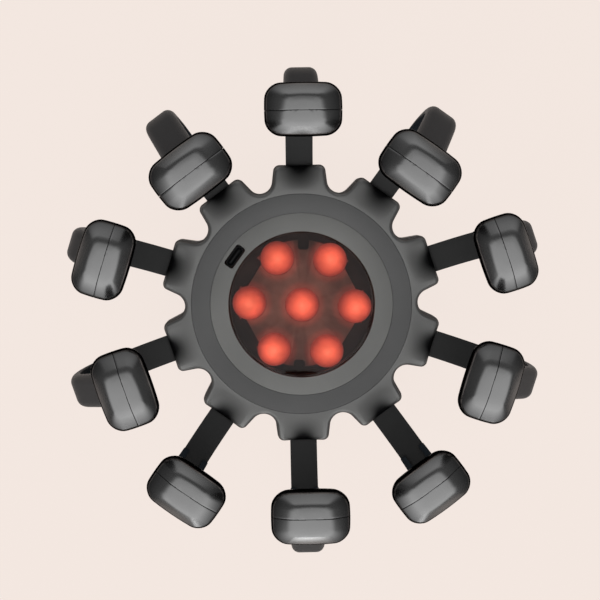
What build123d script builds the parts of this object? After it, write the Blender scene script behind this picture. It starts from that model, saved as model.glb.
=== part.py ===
"""Electric scalp massager: a ten-lobed hub with a lit window, and ten sprung arms that carry vibrating pods.

Frame: millimetres, +Z along the hub's axis from the flat back to the lit face and the pods. The origin is on
the axis, in the plane of the flat back. Arm 01 points along +Y and the numbers run counterclockwise seen from
+Z. Odd arms are short, even arms are long.
"""

from build123d import *
import os
from math import cos, degrees, radians, sin

# ---------------------------------------------------------------- hub
HUB_HEIGHT = 27.0          # flat back to the trim ring's face
FACE_COVER_RISE = 5.5      # middle of the strips, where the shells meet, to the trim ring's face
PARTING_GAP = 0.1
ARM_COUNT = 10
LOBE_TIP_RADIUS = 55.6     # axis to the flat end of a lobe
LOBE_TIP_WIDTH = 20.4
LOBE_LENGTH = 8.8          # flat end of a lobe to the floor of the notch beside it
LOBE_FLARE = 7.0           # degrees, each flank to the lobe's centre line
LOBE_CORNER = 2.6
REAR_WALL = 2.2
BACK_SHOULDER_INSET = 10.6  # lobe tip to the shoulder of the domed back
BACK_SHOULDER_WIDTH = 14.0  # shoulder to the flat that the part lies on
BACK_SHOULDER_HEIGHT = 3.4
BACK_SIDE_HEIGHT = 12.0    # where the domed back reaches the lobe tips
FACE_TIP_DROP = 1.3        # the face falls by this much from the trim ring to a lobe tip
FACE_RIM_INSET = 2.7       # notch floor to the inner edge of the sloping skirt
FACE_RIM_WIDTH = 1.1       # that edge to the inside of the skirt
FACE_PLATE = 2.0           # plate under the trim ring and the bezel
FACE_INSET = 0.5           # the face cover's outline lies this far inside the rear housing's
FACE_EDGE_ROUND = 1.6
SCOOP_WIDTH = 11.4         # hollow in a lobe's top over the strip
SCOOP_DEPTH = 1.3
SCOOP_LENGTH = 9.1
FIT_GAP = 0.1              # between parts that drop into each other
CUT_OVER = 1.0             # a cut runs past the face that it opens by this much

# ---------------------------------------------------------------- window
TRIM_THICKNESS = 1.6
TRIM_WIDTH = 7.7           # with its gaps
BEZEL_WIDTH = 7.3
BEZEL_RISE = 1.2           # the bezel climbs this much towards the lens
LENS_LEDGE = 2.0           # width of the ledge that carries the lens
LENS_CROWN = 1.4           # how far the lens domes above the bezel's inner edge
LENS_WALL = 1.5

# ---------------------------------------------------------------- lamps
LAMP_WEB = 8.6             # middle lamp to the lamps round it
LAMP_BASE = 1.4            # straight part of a lamp's body under its dome
LAMP_EDGE_GAP = 0.5        # outer lamps to the ledge round them
LAMP_HEADROOM = 1.7        # middle lamp to the lens
LAMP_RING_COUNT = 6
LAMP_TURN = -2.0           # degrees, first outer lamp from +X
LAMP_GAP = 0.2
LAMP_BOARD_INSET = 1.0     # bezel's outside to the lamp board's edge
BOARD_THICKNESS = 1.6
REFLECTOR_EDGE_GAP = 0.4
REFLECTOR_THICKNESS = 1.2
REFLECTOR_NOTCH_WIDTH = 6.5
REFLECTOR_NOTCH_DEPTH = 5.0

# ---------------------------------------------------------------- main board and battery
MAIN_BOARD_ROOM = 4.7      # housing screw bosses to the main board's edge
BATTERY_LENGTH = 38.0
BATTERY_WIDTH = 26.0
BATTERY_ROOM = 1.2         # battery to the lamp board above it
BATTERY_CORNER = 2.0
BATTERY_TAB_LENGTH = 3.0
BATTERY_TAB_THICKNESS = 1.2

# ---------------------------------------------------------------- charging socket
SOCKET_INSET = 3.7         # lens to the socket's centre
SOCKET_ANGLE = 143.3
SOCKET_LENGTH = 8.94
SOCKET_WIDTH = 3.26
SOCKET_WALL = 0.3
SOCKET_SINK = 1.0          # mouth below the bezel's face
SOCKET_BASE = 1.6
TONGUE_LENGTH = 6.7
TONGUE_THICKNESS = 0.7
TONGUE_SINK = 0.6
PORT_LENGTH = 9.7
PORT_WIDTH = 4.2
PORT_CORNER = 1.5

# ---------------------------------------------------------------- power button
BUTTON_RADIUS = 12.0
BUTTON_GAP = 0.25
BUTTON_SINK = 0.5          # its face lies this far inside the flat back
BUTTON_DISH = 0.7
BUTTON_TRAVEL = 0.6
BUTTON_FLANGE_WIDTH = 1.6
BUTTON_FLANGE_THICKNESS = 1.2
STEM_RADIUS = 2.2
STEM_RISE = 0.5            # stem above the flange
SWITCH_SIZE = 6.0
SWITCH_HEIGHT = 3.5
PLUNGER_RADIUS = 1.7
PLUNGER_HEIGHT = 0.8

# ---------------------------------------------------------------- screws
SCREW_RADIUS = 1.0
SCREW_LENGTH = 6.0
SCREW_HEAD_RADIUS = 1.9
SCREW_HEAD_HEIGHT = 1.3
SCREW_GAP = 0.05
DRIVE_RADIUS = 0.75
DRIVE_DEPTH = 0.7
BOSS_RADIUS = 2.5
BOSS_GAP = 0.3             # round a boss that passes through another part
BOARD_SCREW_INSET = 3.6    # a board's edge to its screws
RIM_SCREW_COUNT = 5        # of the housing and, turned by one notch, of the clamp ring
LAMP_SCREW_COUNT = 3
MAIN_SCREW_COUNT = 4
MAIN_SCREW_TURN = 45.0     # degrees, first screw from +X, clear of the battery

# ---------------------------------------------------------------- strips and legs
STRIP_WIDTH = 10.8
STRIP_NECK_WIDTH = 8.8     # the stretch in the leg, whose mouth the shoulders meet
STRIP_THICKNESS = 0.8
STRIP_ROOT_INSET = 0.6     # skirt's inside to the strips' roots
STRIP_SIDE_GAP = 0.3
STRIP_TOP_GAP = 0.5        # over the strip at the lobe's mouth
RIBBON_WIDTH = 3.2
RIBBON_THICKNESS = 0.3
RIBBON_ROOT_INSET = 1.0    # clamp ring's inside to the ribbons' ends
CLAMP_BOARD_GAP = 0.6      # lamp board to the clamp ring
CLAMP_INSET = 4.6          # lobe tip to the clamp ring
CLAMP_THICKNESS = 2.4
BEND_INSET = 5.6           # lobe tip to where a strip starts to curve
BEND_RADIUS = 37.1
LEAN = 27.0                # degrees, how far the straight leg leans in
LEG_START = 32.0           # degrees round the bend
LEG_FLARE = 32.0           # degrees from the mouth to where the leg has its full width
LEG_MOUTH_WIDTH = 11.0
SHORT_LEG = 23.6           # end of the bend to the pod's centre
LONG_LEG = 42.4
LEG_WIDTH = 12.2
LEG_BACK = 3.0             # middle of the strip to the leg's back
LEG_FRONT = 1.3            # and to its front
LEG_BACK_CORNER = 3.0
LEG_FRONT_CORNER = 0.6
LEG_WINDOW = 6.6           # opening between the two lips that hold the strip
LEG_INSET = 4.6            # leg's end below the pod's centre
LEG_GAP = 0.1

# ---------------------------------------------------------------- pods
POD_TILT = 2.0             # degrees, the pod's axis leans in from the hub's
POD_WIDTH = 26.8
POD_DEPTH = 18.7
POD_CORNER = 5.2
POD_SHOULDER_HEIGHT = 3.6  # heights are from the widest section
POD_SHOULDER_WIDTH = 24.6
POD_SHOULDER_DEPTH = 16.0
POD_SHOULDER_CORNER = 4.4
POD_FACE_HEIGHT = 6.6
POD_FACE_WIDTH = 10.4
POD_FACE_DEPTH = 7.8
POD_FACE_CORNER = 1.4
POD_WAIST_DEPTH_BELOW = 5.0
POD_WAIST_WIDTH = 25.6
POD_WAIST_DEPTH = 17.4
POD_FOOT_DEPTH_BELOW = 10.0
POD_FOOT_PLACE = 2.7        # foot's middle outside the pod's, so that it holds the leaning leg
POD_FOOT_WIDTH = 18.0
POD_FOOT_DEPTH = 12.2
POD_FOOT_CORNER = 3.4
POD_WALL = 1.6
POD_SEAM = 0.12
POD_SEAM_PLACE = 0.4       # seam inside the pod's middle, towards the hub's axis
MOTOR_RADIUS = 5.0
MOTOR_THICKNESS = 2.8
MOTOR_LIFT = 0.2           # motor's underside above the widest section
SHELF_THICKNESS = 1.4
SHELF_WIDTH = 12.0

# ---------------------------------------------------------------- worked out
PITCH = 360.0 / ARM_COUNT
UP = (Align.CENTER, Align.CENTER, Align.MIN)
NOTCH_FLOOR_RADIUS = LOBE_TIP_RADIUS - LOBE_LENGTH
FACE_RIM_RADIUS = NOTCH_FLOOR_RADIUS - FACE_RIM_INSET
FACE_WALL_RADIUS = FACE_RIM_RADIUS - FACE_RIM_WIDTH
SCOOP_START_RADIUS = LOBE_TIP_RADIUS - SCOOP_LENGTH
BACK_SHOULDER_RADIUS = LOBE_TIP_RADIUS - BACK_SHOULDER_INSET
BACK_FLAT_RADIUS = BACK_SHOULDER_RADIUS - BACK_SHOULDER_WIDTH
BEZEL_OUTER_RADIUS = FACE_RIM_RADIUS - TRIM_WIDTH
LENS_RADIUS = BEZEL_OUTER_RADIUS - BEZEL_WIDTH
LEDGE_RADIUS = LENS_RADIUS - LENS_LEDGE
LENS_EDGE_HEIGHT = HUB_HEIGHT + BEZEL_RISE
LENS_TOP = LENS_EDGE_HEIGHT + LENS_CROWN
LAMP_RADIUS = (LEDGE_RADIUS - LAMP_EDGE_GAP - LAMP_WEB) / 3  # three radii and a web fill the ledge
LAMP_RING_RADIUS = 2 * LAMP_RADIUS + LAMP_WEB
LAMP_SEAT = LENS_TOP - LENS_WALL - LAMP_HEADROOM - LAMP_RADIUS - LAMP_BASE
LAMP_BOARD_HEIGHT = LAMP_SEAT - BOARD_THICKNESS
LAMP_BOARD_RADIUS = BEZEL_OUTER_RADIUS - LAMP_BOARD_INSET
REFLECTOR_RADIUS = LEDGE_RADIUS - REFLECTOR_EDGE_GAP
SOCKET_RADIUS = LENS_RADIUS + SOCKET_INSET
RIM_SCREW_PLACE = FACE_WALL_RADIUS - BOSS_RADIUS - BOSS_GAP
LAMP_SCREW_PLACE = LAMP_BOARD_RADIUS - BOARD_SCREW_INSET
MAIN_BOARD_RADIUS = RIM_SCREW_PLACE - BOSS_RADIUS - MAIN_BOARD_ROOM
MAIN_SCREW_PLACE = MAIN_BOARD_RADIUS - BOARD_SCREW_INSET
FLANGE_LOW = REAR_WALL + FIT_GAP
FLANGE_HIGH = FLANGE_LOW + BUTTON_FLANGE_THICKNESS
STEM_TOP = FLANGE_HIGH + STEM_RISE
PLUNGER_LOW = STEM_TOP + FIT_GAP + BUTTON_TRAVEL
MAIN_BOARD_HEIGHT = PLUNGER_LOW + PLUNGER_HEIGHT + SWITCH_HEIGHT
MAIN_BOARD_TOP = MAIN_BOARD_HEIGHT + BOARD_THICKNESS
BATTERY_THICKNESS = LAMP_BOARD_HEIGHT - BATTERY_ROOM - MAIN_BOARD_TOP
SEAT_HEIGHT = HUB_HEIGHT - TRIM_THICKNESS
PLATE_UNDERSIDE = SEAT_HEIGHT - FACE_PLATE
PARTING_HEIGHT = HUB_HEIGHT - FACE_COVER_RISE
STRIP_TOP = PARTING_HEIGHT + STRIP_THICKNESS / 2
STRIP_UNDER = PARTING_HEIGHT - STRIP_THICKNESS / 2
RIBBON_UNDER = STRIP_UNDER - FIT_GAP - RIBBON_THICKNESS
CLAMP_TOP = STRIP_UNDER - FIT_GAP
CLAMP_UNDER = CLAMP_TOP - CLAMP_THICKNESS
CLAMP_INNER_RADIUS = LAMP_BOARD_RADIUS + CLAMP_BOARD_GAP
CLAMP_OUTER_RADIUS = LOBE_TIP_RADIUS - CLAMP_INSET
STRIP_ROOT_RADIUS = FACE_WALL_RADIUS + STRIP_ROOT_INSET
RIBBON_ROOT_RADIUS = CLAMP_INNER_RADIUS + RIBBON_ROOT_INSET
BEND_START_RADIUS = LOBE_TIP_RADIUS - BEND_INSET
LOBE_HALF = LOBE_TIP_WIDTH / 2
FLARE_SIN = sin(radians(LOBE_FLARE))
FLARE_COS = cos(radians(LOBE_FLARE))
NOTCH_PLACE = (NOTCH_FLOOR_RADIUS - LOBE_TIP_RADIUS * FLARE_SIN - LOBE_HALF * FLARE_COS) / (
    1 - sin(radians(LOBE_FLARE + PITCH / 2)))
NOTCH_RADIUS = NOTCH_PLACE - NOTCH_FLOOR_RADIUS
SKIRT_SLOPE = FACE_TIP_DROP / (LOBE_TIP_RADIUS - FACE_RIM_RADIUS)
MOUTH_WIDTH = STRIP_WIDTH + 2 * STRIP_SIDE_GAP
BEND_ANGLE = 90.0 + LEAN
BEND_LENGTH = BEND_RADIUS * radians(BEND_ANGLE)
BEND_HEIGHT = PARTING_HEIGHT + BEND_RADIUS
STRIP_RISE = BEND_RADIUS - (BEND_RADIUS**2 - (LOBE_TIP_RADIUS - BEND_START_RADIUS) ** 2) ** 0.5


# ---------------------------------------------------------------- helpers
def disc(radius, low, high):
    """Upright cylinder on the hub's axis, from one height to another."""
    return Pos(0, 0, low) * Cylinder(radius, high - low, align=UP)


def ring(inner, outer, low, high):
    return disc(outer, low, high) - disc(inner, low - CUT_OVER, high + CUT_OVER)


def polar(radius, angle, height=0.0):
    """Place at a radius and an angle in degrees round the hub's axis."""
    return Rot(0, 0, angle) * Pos(radius, 0, height)


def polar_places(count, radius, first, height=0.0):
    return [polar(radius, first + 360.0 * k / count, height) for k in range(count)]


def turned(points):
    """Solid of revolution about the hub's axis from (radius, height) points."""
    return revolve(make_face(Polyline(*[(r, 0, z) for r, z in points], close=True)), Axis.Z)


def arm_angle(k):
    """Angle of arm k, counted from 0, in degrees from +X."""
    return 90.0 + PITCH * k


def rim_screw_angle(turn):
    """First angle of the five notches that hold housing screws (turn 0) or clamp screws (turn 1)."""
    return arm_angle(0) + PITCH * (0.5 + turn)


def lobed_face(inset=0.0):
    """Flat face with the hub's ten-lobed outline, drawn in by inset."""
    tip = LOBE_TIP_RADIUS - inset
    corner = max(LOBE_CORNER - inset, LOBE_CORNER / 6)
    middle_x = tip - corner
    middle_y = LOBE_HALF - (inset + corner) * (1 - FLARE_SIN) / FLARE_COS
    notch = NOTCH_RADIUS + inset
    half_pitch = radians(PITCH / 2)
    root_x = NOTCH_PLACE * cos(half_pitch) - notch * FLARE_SIN
    root_y = NOTCH_PLACE * sin(half_pitch) - notch * FLARE_COS
    turn = radians(90.0 - LOBE_FLARE)
    flank = (middle_x + corner * FLARE_SIN, middle_y + corner * FLARE_COS)
    knee = (middle_x + corner * cos(turn / 2), middle_y + corner * sin(turn / 2))
    floor = ((NOTCH_PLACE - notch) * cos(half_pitch), (NOTCH_PLACE - notch) * sin(half_pitch))
    after = (root_x * cos(2 * half_pitch) + root_y * sin(2 * half_pitch),
             root_x * sin(2 * half_pitch) - root_y * cos(2 * half_pitch))
    lobe = [
        Line((root_x, -root_y), (flank[0], -flank[1])),
        ThreePointArc((flank[0], -flank[1]), (knee[0], -knee[1]), (tip, -middle_y)),
        Line((tip, -middle_y), (tip, middle_y)),
        ThreePointArc((tip, middle_y), knee, flank),
        Line(flank, (root_x, root_y)),
        ThreePointArc((root_x, root_y), floor, after),
    ]
    edges = [Rot(0, 0, arm_angle(k)) * edge for k in range(ARM_COUNT) for edge in lobe]
    return make_face(edges)


def lobed_prism(inset, low, high):
    return Pos(0, 0, low) * extrude(lobed_face(inset), high - low)


def lane(low, high, start, stop, width):
    """Block along an arm's centre line, from one radius to another, for each of the ten arms."""
    block = Pos((start + stop) / 2, 0, (low + high) / 2) * Box(stop - start, width, high - low)
    return [Rot(0, 0, arm_angle(k)) * block for k in range(ARM_COUNT)]


def screw():
    """Pan-head screw pointing down, with the underside of its head at the origin."""
    body = Pos(0, 0, -SCREW_LENGTH) * Cylinder(SCREW_RADIUS, SCREW_LENGTH, align=UP)
    body += Cylinder(SCREW_HEAD_RADIUS, SCREW_HEAD_HEIGHT, align=UP)
    drive = Pos(0, 0, SCREW_HEAD_HEIGHT - DRIVE_DEPTH) * extrude(RegularPolygon(DRIVE_RADIUS, 6), DRIVE_DEPTH)
    return body - drive


def bosses(places, low, high):
    """Cylinders for screws, from one height to another, at places given at height 0."""
    return [place * Pos(0, 0, low) * Cylinder(BOSS_RADIUS, high - low, align=UP) for place in places]


def bores(places, low, high, radius=SCREW_RADIUS + SCREW_GAP):
    return [place * Pos(0, 0, low) * Cylinder(radius, high - low, align=UP) for place in places]


HOUSING_SCREWS = polar_places(RIM_SCREW_COUNT, RIM_SCREW_PLACE, rim_screw_angle(0))
CLAMP_SCREWS = polar_places(RIM_SCREW_COUNT, RIM_SCREW_PLACE, rim_screw_angle(1))
LAMP_SCREWS = polar_places(LAMP_SCREW_COUNT, LAMP_SCREW_PLACE, SOCKET_ANGLE + 180.0 / LAMP_SCREW_COUNT)
MAIN_SCREWS = polar_places(MAIN_SCREW_COUNT, MAIN_SCREW_PLACE, MAIN_SCREW_TURN)
LAMP_PLACES = [Pos(0, 0, 0)] + polar_places(LAMP_RING_COUNT, LAMP_RING_RADIUS, LAMP_TURN)
HOUSING_SEAT = SEAT_HEIGHT - SCREW_HEAD_HEIGHT - FIT_GAP
SOCKET_FRAME = polar(SOCKET_RADIUS, SOCKET_ANGLE) * Rot(0, 0, 90)


# ---------------------------------------------------------------- hub shells
def back_profile(wall):
    """Solid of the domed back, its skin moved in by wall."""
    top = PARTING_HEIGHT + wall
    return turned([
        (0, wall), (BACK_FLAT_RADIUS - wall / 2, wall),
        (BACK_SHOULDER_RADIUS - wall, BACK_SHOULDER_HEIGHT + wall),
        (LOBE_TIP_RADIUS - wall, BACK_SIDE_HEIGHT), (LOBE_TIP_RADIUS - wall, top), (0, top),
    ])


def rear_housing():
    body = lobed_prism(0, 0, PARTING_HEIGHT) & back_profile(0)
    body -= lobed_prism(REAR_WALL, 0, PARTING_HEIGHT + REAR_WALL) & back_profile(REAR_WALL)
    body += bosses(HOUSING_SCREWS, REAR_WALL, PARTING_HEIGHT)
    body += bosses(MAIN_SCREWS, REAR_WALL / 2, MAIN_BOARD_HEIGHT)
    body -= bores(HOUSING_SCREWS, HOUSING_SEAT - SCREW_LENGTH - FIT_GAP, PARTING_HEIGHT + CUT_OVER)
    body -= bores(MAIN_SCREWS, MAIN_BOARD_TOP - SCREW_LENGTH - FIT_GAP, MAIN_BOARD_HEIGHT + CUT_OVER)
    body -= disc(BUTTON_RADIUS + BUTTON_GAP, -CUT_OVER, REAR_WALL + CUT_OVER)
    body -= lane(CLAMP_TOP - RIBBON_THICKNESS, PARTING_HEIGHT + CUT_OVER, CLAMP_OUTER_RADIUS,
                 LOBE_TIP_RADIUS + CUT_OVER, MOUTH_WIDTH)
    return body


def scoop():
    """Round-bottomed valley that deepens to SCOOP_DEPTH at a lobe's tip, for the arm along +X."""
    radius = (SCOOP_WIDTH**2 / 4 + SCOOP_DEPTH**2) / (2 * SCOOP_DEPTH)
    length = LOBE_TIP_RADIUS - SCOOP_START_RADIUS
    start_height = HUB_HEIGHT - SKIRT_SLOPE * (SCOOP_START_RADIUS - FACE_RIM_RADIUS)
    drop = SKIRT_SLOPE * length + SCOOP_DEPTH
    rod = Rot(0, 90, 0) * Cylinder(radius, 4 * length)
    start = Pos(SCOOP_START_RADIUS, 0, start_height) * Rot(0, degrees(drop / length), 0)
    return start * Pos(0, 0, radius) * rod


def outline_edges(body):
    """Edges of the sloping face's lobed outline."""
    lowest = HUB_HEIGHT - FACE_TIP_DROP - FACE_INSET

    def on_outline(edge):
        middle = edge @ 0.5
        return middle.Z > lowest and Vector(middle.X, middle.Y, 0).length > FACE_RIM_RADIUS + FACE_INSET

    return body.edges().filter_by(on_outline)


def face_cover():
    low = PARTING_HEIGHT + PARTING_GAP
    reach = LOBE_TIP_RADIUS + CUT_OVER
    skirt = turned([
        (0, low), (reach, low), (reach, HUB_HEIGHT - SKIRT_SLOPE * (reach - FACE_RIM_RADIUS)),
        (FACE_RIM_RADIUS, HUB_HEIGHT), (0, HUB_HEIGHT),
    ])
    body = lobed_prism(FACE_INSET, low, HUB_HEIGHT) & skirt
    body = fillet(outline_edges(body), FACE_EDGE_ROUND)
    body -= [Rot(0, 0, arm_angle(k)) * scoop() for k in range(ARM_COUNT)]
    body -= disc(FACE_RIM_RADIUS, SEAT_HEIGHT, HUB_HEIGHT + CUT_OVER)
    body -= disc(FACE_WALL_RADIUS, 0, PLATE_UNDERSIDE)
    body += bosses(HOUSING_SCREWS, low, SEAT_HEIGHT)
    body += bosses(CLAMP_SCREWS, CLAMP_TOP, SEAT_HEIGHT)
    body += bosses(LAMP_SCREWS, LAMP_SEAT, SEAT_HEIGHT)
    body -= bores(HOUSING_SCREWS, 0, HUB_HEIGHT)
    body -= bores(HOUSING_SCREWS, HOUSING_SEAT, HUB_HEIGHT, SCREW_HEAD_RADIUS + FIT_GAP)
    body -= bores(CLAMP_SCREWS, 0, CLAMP_UNDER + SCREW_LENGTH + FIT_GAP)
    body -= bores(LAMP_SCREWS, 0, LAMP_BOARD_HEIGHT + SCREW_LENGTH + FIT_GAP)
    body -= disc(LEDGE_RADIUS, 0, HUB_HEIGHT)
    body -= SOCKET_FRAME * port_prism(0, HUB_HEIGHT)
    mouth_top = STRIP_TOP + STRIP_RISE + STRIP_TOP_GAP
    body -= lane(0, mouth_top, CLAMP_OUTER_RADIUS, LOBE_TIP_RADIUS + CUT_OVER, MOUTH_WIDTH)
    body -= lane(0, STRIP_TOP + FIT_GAP, FACE_WALL_RADIUS - CUT_OVER, CLAMP_OUTER_RADIUS, MOUTH_WIDTH)
    return body


def port_prism(low, high):
    return Pos(0, 0, low) * extrude(RectangleRounded(PORT_LENGTH, PORT_WIDTH, PORT_CORNER), high - low)


def trim_ring():
    body = ring(BEZEL_OUTER_RADIUS + FIT_GAP, FACE_RIM_RADIUS - FIT_GAP, SEAT_HEIGHT, HUB_HEIGHT)
    return chamfer(body.edges().group_by(Axis.Z)[-1], FIT_GAP)


def lens_bezel():
    inner = LENS_RADIUS + FIT_GAP
    body = turned([
        (inner, SEAT_HEIGHT), (BEZEL_OUTER_RADIUS, SEAT_HEIGHT), (BEZEL_OUTER_RADIUS, HUB_HEIGHT),
        (inner, LENS_EDGE_HEIGHT),
    ])
    return body - SOCKET_FRAME * port_prism(SEAT_HEIGHT - CUT_OVER, LENS_EDGE_HEIGHT + CUT_OVER)


def lens():
    """Domed window of constant thickness with a thick rim that stands on the face cover's ledge."""
    ball = (LENS_RADIUS**2 + LENS_CROWN**2) / (2 * LENS_CROWN)
    centre = Pos(0, 0, LENS_TOP - ball)
    body = disc(LENS_RADIUS, SEAT_HEIGHT, LENS_TOP) & centre * Sphere(ball)
    return body - (disc(LEDGE_RADIUS, SEAT_HEIGHT - CUT_OVER, LENS_TOP) & centre * Sphere(ball - LENS_WALL))


# ---------------------------------------------------------------- inside the hub
def lamps():
    lamp = Cylinder(LAMP_RADIUS, LAMP_BASE, align=UP)
    height = LAMP_BASE + LAMP_RADIUS
    lamp += Pos(0, 0, LAMP_BASE) * Sphere(LAMP_RADIUS) & Cylinder(LAMP_RADIUS, height, align=UP)
    return [place * Pos(0, 0, LAMP_SEAT) * lamp for place in LAMP_PLACES]


def reflector():
    """Dark plate between the lamps, carried on the lamp board by a rim under its edge."""
    low = LAMP_SEAT + LAMP_BASE
    body = disc(REFLECTOR_RADIUS, LAMP_SEAT, low + REFLECTOR_THICKNESS)
    body -= disc(REFLECTOR_RADIUS - REFLECTOR_THICKNESS, 0, low)
    body -= bores(LAMP_PLACES, 0, HUB_HEIGHT, LAMP_RADIUS + LAMP_GAP)
    notch = Pos(REFLECTOR_RADIUS, 0, low) * Box(
        2 * REFLECTOR_NOTCH_DEPTH, REFLECTOR_NOTCH_WIDTH, 2 * REFLECTOR_THICKNESS, align=UP)
    between = polar_places(LAMP_RING_COUNT, 0, LAMP_TURN + 180.0 / LAMP_RING_COUNT)
    return body - [place * notch for place in between]


def lamp_board():
    body = disc(LAMP_BOARD_RADIUS, LAMP_BOARD_HEIGHT, LAMP_SEAT)
    return body - bores(LAMP_SCREWS, 0, HUB_HEIGHT)


def main_board():
    body = disc(MAIN_BOARD_RADIUS, MAIN_BOARD_HEIGHT, MAIN_BOARD_TOP)
    return body - bores(MAIN_SCREWS, 0, HUB_HEIGHT)


def battery():
    """Pouch cell on the main board, with its sealed tab at one end."""
    low = MAIN_BOARD_TOP
    pouch = Pos(0, 0, low) * Box(BATTERY_LENGTH, BATTERY_WIDTH, BATTERY_THICKNESS, align=UP)
    pouch = fillet(pouch.edges().filter_by(Axis.Z), BATTERY_CORNER)
    tab = Pos((BATTERY_LENGTH + BATTERY_TAB_LENGTH) / 2, 0, low) * Box(
        BATTERY_TAB_LENGTH, BATTERY_WIDTH - 2 * BATTERY_CORNER, BATTERY_TAB_THICKNESS, align=UP)
    return pouch + tab


def usb_socket():
    """Upright charging socket that stands on the lamp board with its mouth in the bezel's port."""
    radius_share = (SOCKET_RADIUS - LENS_RADIUS) / (BEZEL_OUTER_RADIUS - LENS_RADIUS)
    top = LENS_EDGE_HEIGHT - BEZEL_RISE * radius_share - SOCKET_SINK
    corner = SOCKET_WIDTH / 2 - FIT_GAP
    inner_length, inner_width = SOCKET_LENGTH - 2 * SOCKET_WALL, SOCKET_WIDTH - 2 * SOCKET_WALL
    shell = Pos(0, 0, LAMP_SEAT) * extrude(
        RectangleRounded(SOCKET_LENGTH, SOCKET_WIDTH, corner), top - LAMP_SEAT)
    mouth = Pos(0, 0, LAMP_SEAT + SOCKET_BASE) * extrude(
        RectangleRounded(inner_length, inner_width, corner - SOCKET_WALL), top - LAMP_SEAT)
    tongue = Pos(0, 0, LAMP_SEAT) * Box(
        TONGUE_LENGTH, TONGUE_THICKNESS, top - TONGUE_SINK - LAMP_SEAT, align=UP)
    return SOCKET_FRAME * (shell - mouth + tongue)


def power_button():
    body = disc(BUTTON_RADIUS, BUTTON_SINK, FLANGE_HIGH)
    body += disc(BUTTON_RADIUS + BUTTON_GAP + BUTTON_FLANGE_WIDTH, FLANGE_LOW, FLANGE_HIGH)
    body += disc(STEM_RADIUS, BUTTON_SINK, STEM_TOP)
    dish = (BUTTON_RADIUS**2 + BUTTON_DISH**2) / (2 * BUTTON_DISH)
    return body - Pos(0, 0, BUTTON_SINK + BUTTON_DISH - dish) * Sphere(dish)


def tactile_switch():
    low = MAIN_BOARD_HEIGHT - SWITCH_HEIGHT
    body = Pos(0, 0, low) * Box(SWITCH_SIZE, SWITCH_SIZE, SWITCH_HEIGHT, align=UP)
    return body + disc(PLUNGER_RADIUS, PLUNGER_LOW, PLUNGER_LOW + PLUNGER_HEIGHT)


def clamp_ring():
    """Ring that presses the strips' roots up against the face cover."""
    body = lobed_prism(REAR_WALL + BOSS_GAP, CLAMP_UNDER, CLAMP_TOP)
    body &= disc(CLAMP_OUTER_RADIUS, CLAMP_UNDER, CLAMP_TOP)
    body -= disc(CLAMP_INNER_RADIUS, 0, HUB_HEIGHT)
    body -= bores(HOUSING_SCREWS, 0, HUB_HEIGHT, BOSS_RADIUS + BOSS_GAP)
    body -= bores(CLAMP_SCREWS, 0, HUB_HEIGHT)
    body -= lane(RIBBON_UNDER - FIT_GAP, HUB_HEIGHT, CLAMP_INNER_RADIUS - CUT_OVER, LOBE_TIP_RADIUS,
                 RIBBON_WIDTH + 2 * FIT_GAP)
    return body


def screws(places, height, heads_up=True):
    turn = Rot(0 if heads_up else 180, 0, 0)
    return [place * Pos(0, 0, height) * turn * screw() for place in places]


# ---------------------------------------------------------------- arm, drawn along +X
def arm_point(length, out=0.0):
    """Point (x, z) on an arm's line, by its length from the bend's start, moved out to the arm's back."""
    if length < 0:
        return BEND_START_RADIUS + length, PARTING_HEIGHT - out
    turn = min(length, BEND_LENGTH) / BEND_RADIUS
    beyond = max(length - BEND_LENGTH, 0.0)
    x = BEND_START_RADIUS + (BEND_RADIUS + out) * sin(turn) + beyond * cos(turn)
    z = BEND_HEIGHT - (BEND_RADIUS + out) * cos(turn) + beyond * sin(turn)
    return x, z


def arm_trace(out, start, stop):
    """Edges along an arm's line, moved out, between two lengths from the bend's start."""
    def at(length):
        x, z = arm_point(length, out)
        return x, 0, z

    edges = []
    if start < 0:
        edges.append(Line(at(start), at(0)))
    bend_start = max(start, 0.0)
    bend_stop = min(stop, BEND_LENGTH)
    edges.append(ThreePointArc(at(bend_start), at((bend_start + bend_stop) / 2), at(bend_stop)))
    if stop > BEND_LENGTH:
        edges.append(Line(at(BEND_LENGTH), at(stop)))
    return edges


def arm_band(inner, outer, width, start, stop):
    """Solid of constant width between two offsets from an arm's line."""
    low, high = arm_trace(inner, start, stop), arm_trace(outer, start, stop)
    caps = [Line(low[0] @ 0, high[0] @ 0), Line(low[-1] @ 1, high[-1] @ 1)]
    return extrude(make_face(low + high + caps), width / 2, both=True)


def pod_length(long):
    """Length along an arm's line from the bend's start to the pod's centre."""
    return BEND_LENGTH + (LONG_LEG if long else SHORT_LEG)


def strip(long):
    half = STRIP_THICKNESS / 2
    root = STRIP_ROOT_RADIUS - BEND_START_RADIUS
    shoulder = BEND_RADIUS * radians(LEG_START) - FIT_GAP
    body = arm_band(-half, half, STRIP_WIDTH, root, shoulder)
    return body + arm_band(-half, half, STRIP_NECK_WIDTH, root, pod_length(long) - LEG_INSET - FIT_GAP)


def ribbon(long):
    inner = STRIP_THICKNESS / 2 + FIT_GAP
    return arm_band(inner, inner + RIBBON_THICKNESS, RIBBON_WIDTH, RIBBON_ROOT_RADIUS - BEND_START_RADIUS,
                    pod_length(long) - LEG_INSET - FIT_GAP)


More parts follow.
